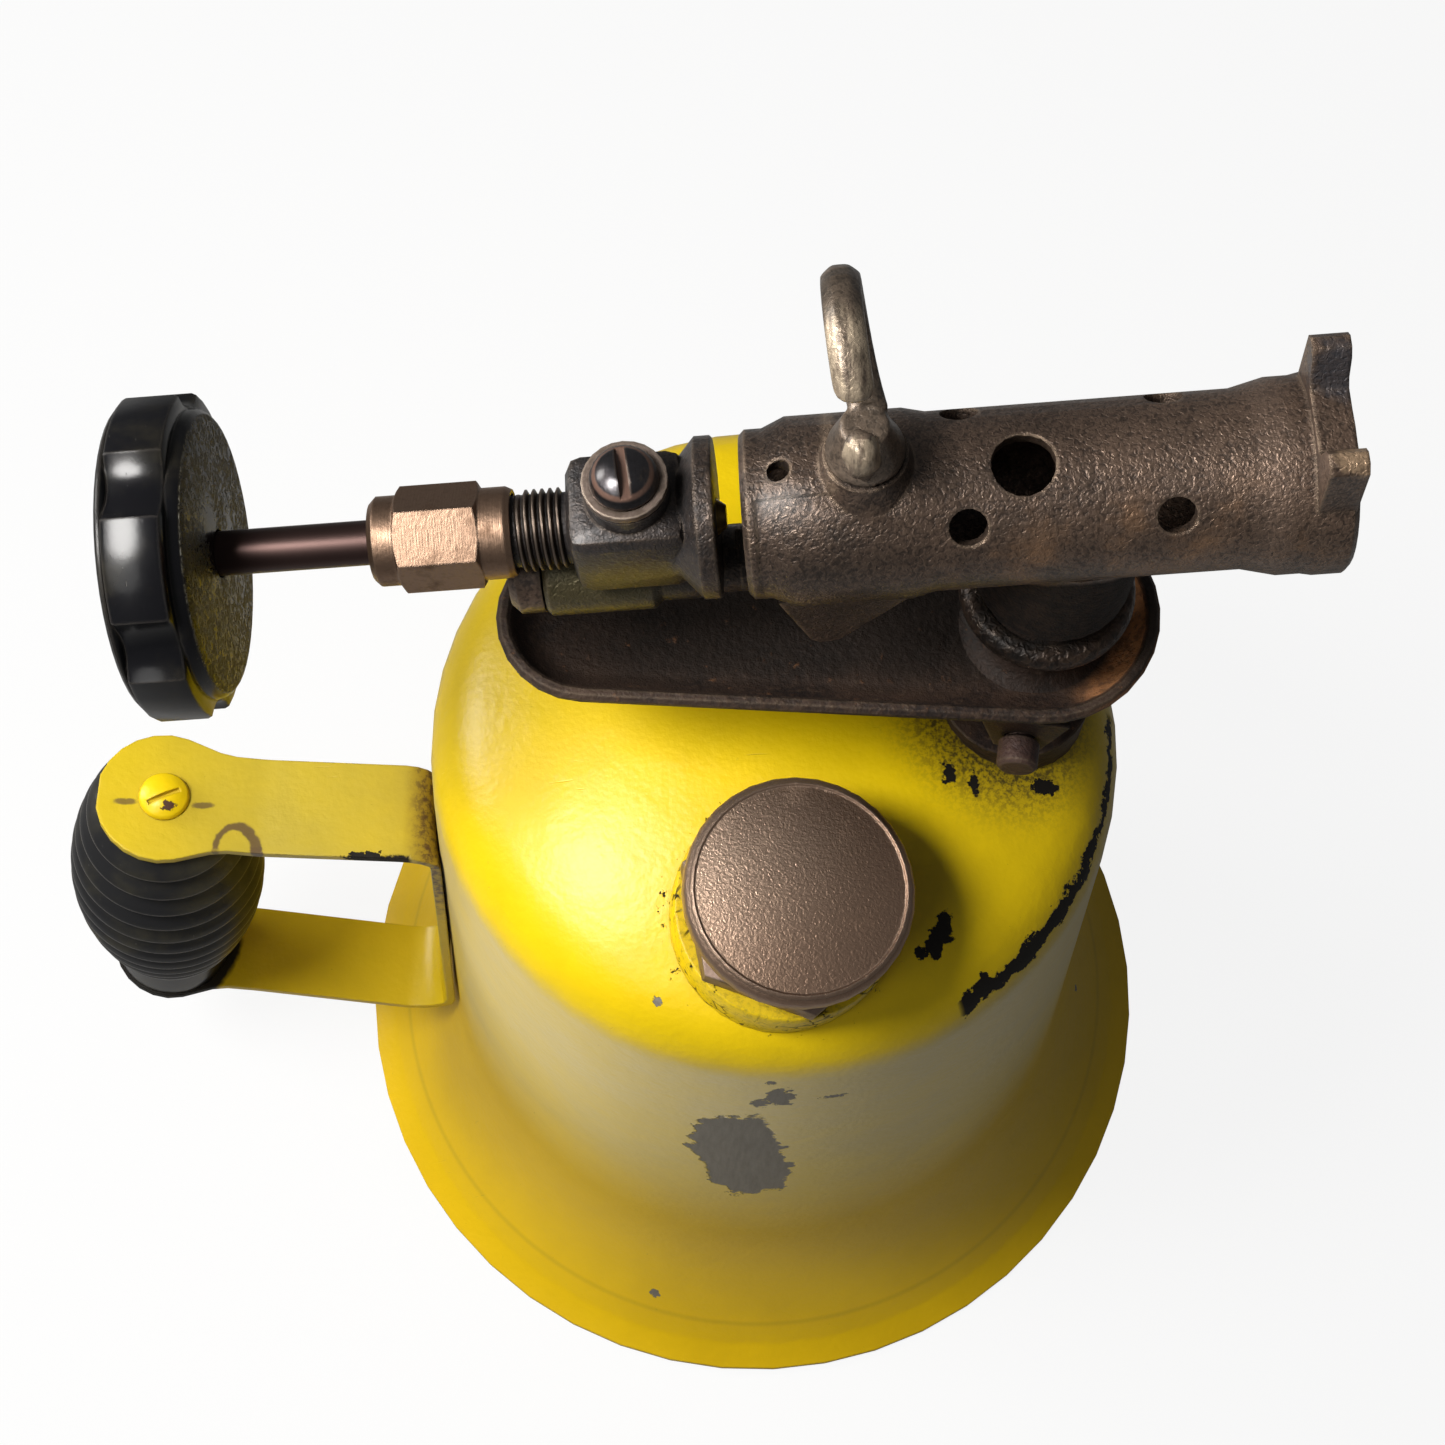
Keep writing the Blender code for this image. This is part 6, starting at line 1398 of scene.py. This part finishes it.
def pump_ring_wear(weave: Weave) -> tuple[Socket, Socket]:
    """Return the pump ring's grime and its cracked paint.

    Args:
        weave: The paint's network.

    Returns:
        The grime's mask and the lost paint's mask.
    """
    crumbs = weave.cloud(Cloud(0.0024, 5.0, 0.7, (0.61, 0.65), shift=6.0))
    cracks = weave.share(weave.cells(0.0032, "DISTANCE_TO_EDGE", 0.3), 0.05, 0.02)
    speck = weave.cloud(Cloud(0.0010, 4.0, 0.7, (0.45, 0.70), shift=1.2))
    patch = weave.cloud(Cloud(0.0060, 3.0, 0.6, (0.50, 0.62), shift=7.0))
    return weave.both(speck, 0.4), weave.most(crumbs, weave.both(cracks, patch, 0.8))


@dataclass
class Riser:
    """The riser pipe with its ring on the tank, the pick up tube and the wick."""

    def build(self) -> None:
        """Dress the riser."""
        dress("riser_bung", RustyIron("riser_ring_iron"))
        dress("riser_pipe", DARK_STEEL)
        dress("pickup_tube", BRASS)
        dress("fuel_wick", Fibre("cotton", colour=(0.55, 0.50, 0.40), grain=0.0005))


def tray_rust(weave: Weave) -> Socket:
    """Return the rust inside the tray's right end.

    Args:
        weave: The iron's network.

    Returns:
        The mask.
    """
    azimuth = weave.azimuth(RISER_LINE)
    drift = weave.wander(weave.cloud(Cloud(0.0050, 4.0, 0.6, shift=0.8)), 0.0050)
    wall = weave.share(weave.math("ADD", weave.around(RISER_LINE), drift), 0.0105, 0.0140)
    low = weave.share(weave.split()[2], 0.1918, 0.1906)
    turn = weave.both(weave.share(azimuth, -1.35, -0.95), weave.share(azimuth, 1.40, 1.00))
    crumbs = weave.between(weave.cloud(Cloud(0.0011, 4.0, 0.7, (0.38, 0.55), shift=2.3)), 0.55, 1.0)
    return weave.both(wall, low, turn, crumbs)


def tray_tube_shadow(weave: Weave) -> Socket:
    """Return the painted shadow of the burner tube on the tray's floor.

    Args:
        weave: The iron's network.

    Returns:
        The mask.
    """
    x, y, z = weave.split()
    drift = weave.wander(weave.cloud(Cloud(0.0060, 4.0, 0.6, shift=1.9)), 0.0080)
    under = weave.share(weave.math("ADD", y, drift), -0.0125, -0.0040)
    return weave.both(under, weave.share(z, 0.1935, 0.1915), weave.share(x, -0.036, 0.010), 0.85)


@dataclass
class Tray:
    """The drip tray with the fillet round the riser, and its set screw."""

    iron: RustyIron = RustyIron("tray_iron", rust_mask=tray_rust, tube_shadow_mask=tray_tube_shadow)
    # A darker copy of the iron for the fillet round the riser, which lies in shade: painted shade.
    shaded_foot_iron: RustyIron = RustyIron(
        "shaded_foot_iron", dark=(0.009, 0.006, 0.004), brown=(0.030, 0.016, 0.010), lip=(0.10, 0.07, 0.05)
    )
    screw_iron: RustyIron = RustyIron("screw_iron", dark=(0.032, 0.018, 0.016), brown=(0.085, 0.045, 0.034))
    foot_inner: float = 0.0063
    foot_top_radius: float = 0.0080
    foot_outer: float = 0.0128
    foot_low: float = 0.1858
    foot_height: float = 0.0042
    foot_steps: int = 8

    def foot_outline(self) -> list[tuple[float, float]]:
        """Return the hollow fillet round the riser as radius and height."""
        outline = [(self.foot_inner, self.foot_low)]
        for step in range(self.foot_steps + 1):
            angle = math.pi / 2 * step / self.foot_steps
            radius = self.foot_outer - (self.foot_outer - self.foot_top_radius) * math.sin(angle)
            outline.append((radius, self.foot_low + self.foot_height * (1 - math.cos(angle))))
        outline.append((self.foot_inner, self.foot_low + self.foot_height))
        return outline

    def build(self) -> None:
        """Dress the tray and its screw, and add the fillet."""
        dress("drip_tray", self.iron)
        foot = turned_ring(RISER_LINE, self.foot_outline())
        add_piece("tray_foot", foot, self.shaded_foot_iron, Body.TORCH)
        dress("tray_set_screw", self.screw_iron)


def under_tube(weave: Weave) -> Socket:
    """Return the boss and neck under the burner tube, darkened as soot and as painted shade of the tube.

    Args:
        weave: The casting's network.

    Returns:
        The mask.
    """
    by_riser = weave.share(weave.around(RISER_LINE), 0.0150, 0.0130)
    off_tube = weave.share(weave.around(BURNER_LINE), 0.0116, 0.0124)
    return weave.both(weave.share(weave.split()[2], 0.2290, 0.2250), off_tube, by_riser)


CASTING_SPOTS: tuple[tuple[Chip, float, Triple], ...] = (
    (Chip((0.0885, 0.0060, 0.2475), 0.0036, 0.3, soft=0.35), 0.7, (0.065, 0.070, 0.085)),
    (Chip((0.0879, -0.0078, 0.2508), 0.0024, 0.5, soft=0.3), 0.75, (0.50, 0.34, 0.21)),
)


def casting_tints(weave: Weave, colour: Socket) -> Socket:
    """Return the casting's colour with its heat tint, worn horn, painted highlight on the flare, dark block,
    painted reflection of the yellow tank on its low rear, and a boss darkened as soot and painted shade.

    Args:
        weave: The casting's network.
        colour: The colour so far.

    Returns:
        The tinted colour.
    """
    for spot, strength, tint in CASTING_SPOTS:
        colour = weave.mix(weave.both(weave.spot(spot), strength), colour, tint)
    along = weave.along(BURNER_LINE)
    # a lighter band on the muzzle's flare: painted highlight
    outside = weave.share(weave.around(BURNER_LINE), 0.0115, 0.013)
    flare_highlight = weave.both(weave.band(along, 0.0166, 0.0035, 0.0070), outside)
    colour = weave.mix(weave.both(flare_highlight, 0.80), colour, (0.38, 0.265, 0.20))
    colour = weave.mix(weave.both(weave.share(along, -0.0455, -0.0500), 0.55), colour, (0.024, 0.024, 0.027))
    x, y, z = weave.split()
    # yellow tint on the low rear of the casting, which faces the tank: painted reflection of the yellow tank
    low = weave.both(weave.share(z, 0.2190, 0.2150), weave.share(x, 0.010, 0.0))
    colour = weave.mix(weave.both(low, 0.35), colour, (0.16, 0.13, 0.03))
    rubbed = weave.cloud(Cloud(0.0090, 4.0, 0.65, (0.46, 0.70), shift=5.2))
    flank = weave.both(weave.share(y, -0.0035, -0.0090), weave.share(x, 0.030, 0.050))
    colour = weave.mix(weave.both(rubbed, flank, 0.55), colour, (0.30, 0.165, 0.085))
    # near black on the boss and neck under the tube: soot and painted shade
    crumbs = weave.cloud(Cloud(0.0016, 4.0, 0.65, (0.40, 0.62), shift=6.1))
    soot = weave.mix(crumbs, (0.006, 0.004, 0.003), (0.024, 0.014, 0.009))
    return weave.mix(weave.both(under_tube(weave), 0.95), colour, soot)


def toward_muzzle(weave: Weave) -> Socket:
    """Return how light the casting is from the block to the muzzle.

    Args:
        weave: The casting's network.

    Returns:
        The share.
    """
    along = weave.along(BURNER_LINE)
    drift = weave.wander(weave.cloud(Cloud(0.012, 4.0, 0.6, shift=2.5)), 0.030)
    return weave.share(weave.math("ADD", along, drift), -0.060, 0.030)


def raised_land(weave: Weave) -> Socket:
    """Return the raised land at the tube's rear end.

    Args:
        weave: The casting's network.

    Returns:
        The mask.
    """
    along = weave.along(BURNER_LINE)
    offset = weave.offset(BURNER_LINE.origin)
    _, side, up = BURNER_LINE.axes()
    across = weave.vector("DOT_PRODUCT", offset, tuple(side)).outputs["Value"]
    above = weave.vector("DOT_PRODUCT", offset, tuple(up)).outputs["Value"]
    azimuth = weave.math("ARCTAN2", across, above)
    on_tube = weave.share(along, -0.0445, -0.0440)
    rim = weave.share(along, -0.0409, -0.0416)
    plateau = weave.both(weave.share(azimuth, -0.335, -0.285), weave.share(along, -0.0300, -0.0330))
    return weave.both(on_tube, weave.most(rim, plateau))


@dataclass
class Burner:
    """The cast burner with its plug and jet, the bead at its foot and the thread behind it."""

    skin: CastSkin = CastSkin(
        "casting_skin", tints=casting_tints, lighter=toward_muzzle, raised=raised_land, soot_and_shade=under_tube
    )
    # A darker copy of the casting skin for the bead under the tube: soot and painted shade.
    shaded_bead_skin: CastSkin = CastSkin(
        "shaded_bead_skin", dark=(0.010, 0.007, 0.005), light=(0.060, 0.036, 0.024), worn=(0.20, 0.14, 0.09),
        grain=0.0011, depth=0.0005, coat=0.1,
    )
    thread_bronze: TurnedMetal = TurnedMetal(
        "thread_bronze", line=BURNER_LINE, colour=(0.11, 0.085, 0.07), patina=(0.04, 0.03, 0.025),
        bright=(0.36, 0.28, 0.22), patina_share=0.5, roughness=0.35,
    )
    casting_angle: float = math.radians(34)
    bead_inner: float = 0.0096
    bead_outer: float = 0.0124
    bead_round: float = 0.0016
    bead_low: float = 0.1966
    bead_high: float = 0.2009
    bead_steps: int = 8
    thread_start: float = -0.0727
    thread_end: float = -0.0656
    thread_pitch: float = 0.00105
    thread_root: float = 0.00465
    thread_crest: float = 0.00535

    def bead_outline(self) -> list[tuple[float, float]]:
        """Return the collar's bead as radius and height."""
        middle = (self.bead_low + self.bead_high) / 2
        outline = [(self.bead_inner, self.bead_low), (self.bead_inner, self.bead_high)]
        for step in range(self.bead_steps + 1):
            angle = math.pi / 2 - math.pi * step / self.bead_steps
            radius = self.bead_outer - self.bead_round * (1 - math.cos(angle))
            outline.append((radius, middle + (self.bead_high - middle) * math.sin(angle)))
        return outline

    def build(self) -> None:
        """Dress the casting and add the collar's bead and the sleeve's thread."""
        dress("burner_casting", self.skin, angle=self.casting_angle)
        dress("passage_plug", CastSkin("plug_skin", depth=0.00006))
        dress("jet_nipple", BRASS)
        bead = turned_ring(RISER_LINE, self.bead_outline())
        add_piece("collar_bead", bead, self.shaded_bead_skin, Body.TORCH)
        run = (self.thread_start, self.thread_end)
        ridge = helix_ridge(BURNER_LINE, *run, self.thread_root, self.thread_crest, self.thread_pitch)
        add_piece("sleeve_thread", ridge, self.thread_bronze, Body.TORCH)


@dataclass
class Valve:
    """The needle valve: spindle, packing nut, packing and clean out screw."""

    nut: TurnedMetal = TurnedMetal(
        "nut_bronze", line=BURNER_LINE, colour=(0.27, 0.175, 0.12), patina=(0.14, 0.085, 0.055),
        bright=(0.42, 0.29, 0.21), patina_share=0.42, roughness=0.42, metallic=1.0,
    )
    washer: TurnedMetal = TurnedMetal(
        "washer_bronze", line=BURNER_LINE, colour=(0.30, 0.23, 0.19), patina=(0.12, 0.09, 0.07),
        bright=(0.55, 0.45, 0.36), roughness=0.45,
    )
    screw: TurnedMetal = TurnedMetal(
        "screw_steel", line=BURNER_LINE, colour=(0.050, 0.046, 0.050), patina=(0.020, 0.016, 0.016),
        bright=(0.25, 0.18, 0.14), roughness=0.28, gloss=0.3, patina_share=0.4,
        sunk=(SCREW_LINE, 0.0144, (0.17, 0.10, 0.075)),
    )
    nut_angle: float = math.radians(20)
    screw_place: float = -0.0573
    screw_top: float = 0.0155
    slot_size: Triple = (0.0120, 0.0013, 0.0026)
    slot_turn: float = math.radians(-85)

    def build(self) -> None:
        """Dress the valve."""
        dress("valve_spindle", DARK_STEEL)
        dress("packing_nut", self.nut, angle=self.nut_angle)
        dress("gland_packing", Fibre("packing_cord", colour=(0.10, 0.10, 0.10)))
        dress("cleanout_washer", self.washer)
        middle = BURNER_LINE.point(self.screw_place, 0.0, self.screw_top)
        lie = placed(middle, BURNER_LINE.axes(), self.slot_turn)
        cutter = add_cutter("cleanout_slot", self.slot_size, lie, Body.TORCH)
        dress("cleanout_screw", self.screw, cutters=(cutter,))


@dataclass
class Wheel:
    """The lobed handwheel and its screw."""

    face: float = -0.1118
    slot_place: float = -0.1209
    slot_size: Triple = (0.0110, 0.0010, 0.0018)

    def build(self) -> None:
        """Dress the wheel."""
        dress("handwheel", BlackGloss("wheel_black", dust_from=self.face))
        a, s, u = BURNER_LINE.axes()
        lie = placed(BURNER_LINE.point(self.slot_place), (u, s, -a))
        cutter = add_cutter("wheel_screw_slot", self.slot_size, lie, Body.WHEEL)
        dress("handwheel_screw", DARK_STEEL, cutters=(cutter,))


def hook_tints(weave: Weave, colour: Socket) -> Socket:
    """Return the hook's colour with its golden worn free end and a gold painted highlight on the lump at its
    foot.

    Args:
        weave: The iron's network.
        colour: The colour so far.

    Returns:
        The tinted colour.
    """
    _, y, z = weave.split()
    rub = weave.cloud(Cloud(0.0014, 4.0, 0.6, (0.36, 0.60), (1.0, 5.0, 5.0), 1.1))
    free_end = weave.both(weave.share(y, 0.0070, 0.0010), weave.share(z, 0.2500, 0.2560), rub, 0.85)
    # gold spot on the lump at the hook's foot: painted highlight
    nub = weave.spot(Chip((0.0292, -0.0040, 0.2480), 0.0026, 0.3))
    return weave.mix(weave.most(free_end, weave.both(nub, rub, 0.8)), colour, (0.60, 0.48, 0.34))


@dataclass
class Hook:
    """The bent iron hook with the lump at its foot."""

    skin: CastSkin = CastSkin(
        "hook_iron", dark=(0.075, 0.056, 0.040), light=(0.23, 0.17, 0.125), depth=0.0001, tints=hook_tints
    )
    nub_place: Triple = (0.0292, -0.0030, 0.2462)
    nub_radii: Triple = (0.0024, 0.0027, 0.0040)
    nub_rough: float = 0.16
    nub_seed: float = 1.7
    hook_angle: float = math.radians(60)
    clay_size: float = 0.00032
    clay_rounds: int = 9
    clay_ease: float = 0.5

    def build(self) -> None:
        """Dress the hook, round its edges and add the lump."""
        hook = dress("iron_hook", self.skin, angle=self.hook_angle)
        clay = hook.modifiers.new("clay", "REMESH")
        clay.mode = "VOXEL"
        clay.voxel_size = self.clay_size
        clay.use_smooth_shade = True
        ease = hook.modifiers.new("ease", "SMOOTH")
        ease.factor = self.clay_ease
        ease.iterations = self.clay_rounds
        hook.modifiers.remove(hook.modifiers["edges"])
        nub = lump(Vector(self.nub_place), BURNER_LINE.axes(), self.nub_radii, self.nub_rough, self.nub_seed)
        add_piece("hook_nub", nub, self.skin, Body.TORCH)


def grip_dust(weave: Weave) -> Socket:
    """Return the dust on the grip's tank side.

    Args:
        weave: The plastic's network.

    Returns:
        The mask.
    """
    offset = weave.offset((-0.0817, 0.0006, 0.0860))
    lean = weave.vector("DOT_PRODUCT", offset, (0.95, -0.3, 0.0)).outputs["Value"]
    cloud = weave.cloud(Cloud(0.008, 5.0, 0.65, (0.3, 0.7), shift=0.7))
    return weave.both(weave.share(lean, 0.004, 0.014), cloud, 0.35)


@dataclass
class Handle:
    """The bent strap bracket, the ribbed grip and its long bolt."""

    paint: YellowPaint = YellowPaint(
        "bracket_paint",
        smoke_and_shade=(0.085, 0.045, 0.030),
        colour=(0.66, 0.475, 0.010),
        warm=(0.66, 0.440, 0.002),
        # The upper arm gets a darker colour towards the tank: painted shade of the light falling off.
        dust_and_light=bracket_arm_shade,
        dust_and_light_colour=(0.36, 0.29, 0.05),
        dust_and_light_share=0.65,
        veil_sheen=0.0,
        dark_chips=(
            Chip((-0.0455, -0.0098, 0.1222), 0.0012, 0.5, (3.0, 1.0, 1.0)),
            Chip((-0.0917, 0.0006, 0.0465), 0.0128, 0.06),
        ),
        extra=bracket_wear,
    )
    # The grip's edges are painted lighter along the rib crests: painted highlight, with wear.
    black: BlackGloss = BlackGloss(
        "grip_black", line=GRIP_LINE, dust_mask=grip_dust, dust=(0.14, 0.12, 0.05), roughness=0.28,
        black=(0.013, 0.013, 0.014), shine=0.5, edge_wear_and_glint=0.7,
    )
    bolt_paint: YellowPaint = YellowPaint(
        "bolt_paint",
        dark_chips=(Chip((-0.0770, -0.0007, 0.1274), 0.0009, 0.7, (1.4, 1.0, 1.0)),),
        primer=(0.085, 0.040, 0.025),
    )
    slot_size: Triple = (0.0056, 0.0008, 0.0016)
    slot_turn: float = math.radians(114)
    slot_floor: float = 0.0820
    slot_shift: float = -0.0005
    grip_low: float = 0.00085
    grip_high: float = 0.0782
    bore: float = 0.00215
    foot_length: float = 0.0120
    foot_radius: float = 0.0106
    end_radius: float = 0.0114
    belly_radius: float = 0.0168
    bulge: float = 0.85
    grip_segments: int = 128
    ribs: int = 12
    groove: float = 0.0021
    rib_outline: tuple[tuple[float, float], ...] = (
        (0.0, 0.0), (0.05, 0.30), (0.12, 0.75), (0.19, 1.0),
        (0.27, 0.96), (0.40, 0.72), (0.58, 0.40), (0.78, 0.14),
    )

    def grip_outline(self) -> list[tuple[float, float]]:
        """Return the grip's outline as radius and height."""
        ribs_low = self.grip_low + self.foot_length
        length = self.grip_high - ribs_low
        outline = [(self.bore, self.grip_low), (self.foot_radius, self.grip_low)]
        outline.append((self.foot_radius, self.grip_low + self.foot_length * 0.3))
        for rib in range(self.ribs):
            for place, height in self.rib_outline:
                share = (rib + place) / self.ribs
                swell = math.sin(math.pi * share) ** self.bulge
                radius = self.end_radius + (self.belly_radius - self.end_radius) * swell
                outline.append((radius - self.groove * (1 - height), ribs_low + length * share))
        outline.append((self.end_radius - self.groove, self.grip_high))
        outline.append((self.bore, self.grip_high))
        return outline

    def build(self) -> None:
        """Dress the handle and cut its screw."""
        dress("handle_bracket", self.paint)
        ribbed = turned_ring(GRIP_LINE, self.grip_outline(), self.grip_segments)
        grip = add_piece("ribbed_grip", ribbed, self.black, Body.TORCH)
        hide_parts("grip")
        a, s, u = GRIP_LINE.axes()
        middle = GRIP_LINE.point(self.slot_floor) + Vector((0.0, self.slot_shift, 0.0))
        cutter = add_cutter("bolt_slot", self.slot_size, placed(middle, (s, u, a), self.slot_turn), Body.TORCH)
        dress("grip_bolt", self.bolt_paint, cutters=(cutter,))
        dress("grip_nut", DARK_STEEL)


def corners() -> list[list[float]]:
    """Return the shown object's lowest and highest corners as plain lists."""
    return [list(corner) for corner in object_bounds()]


def main() -> None:
    """Build the torch in its studio."""
    logging.basicConfig(level=logging.INFO, format="%(message)s")
    bpy.context.scene.view_settings.view_transform = "Standard"
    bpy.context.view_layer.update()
    Studio().build()
    for part in (Tank(), Pump(), Riser(), Tray(), Burner(), Valve(), Wheel(), Hook(), Handle()):
        part.build()


if __name__ == "__main__":
    main()
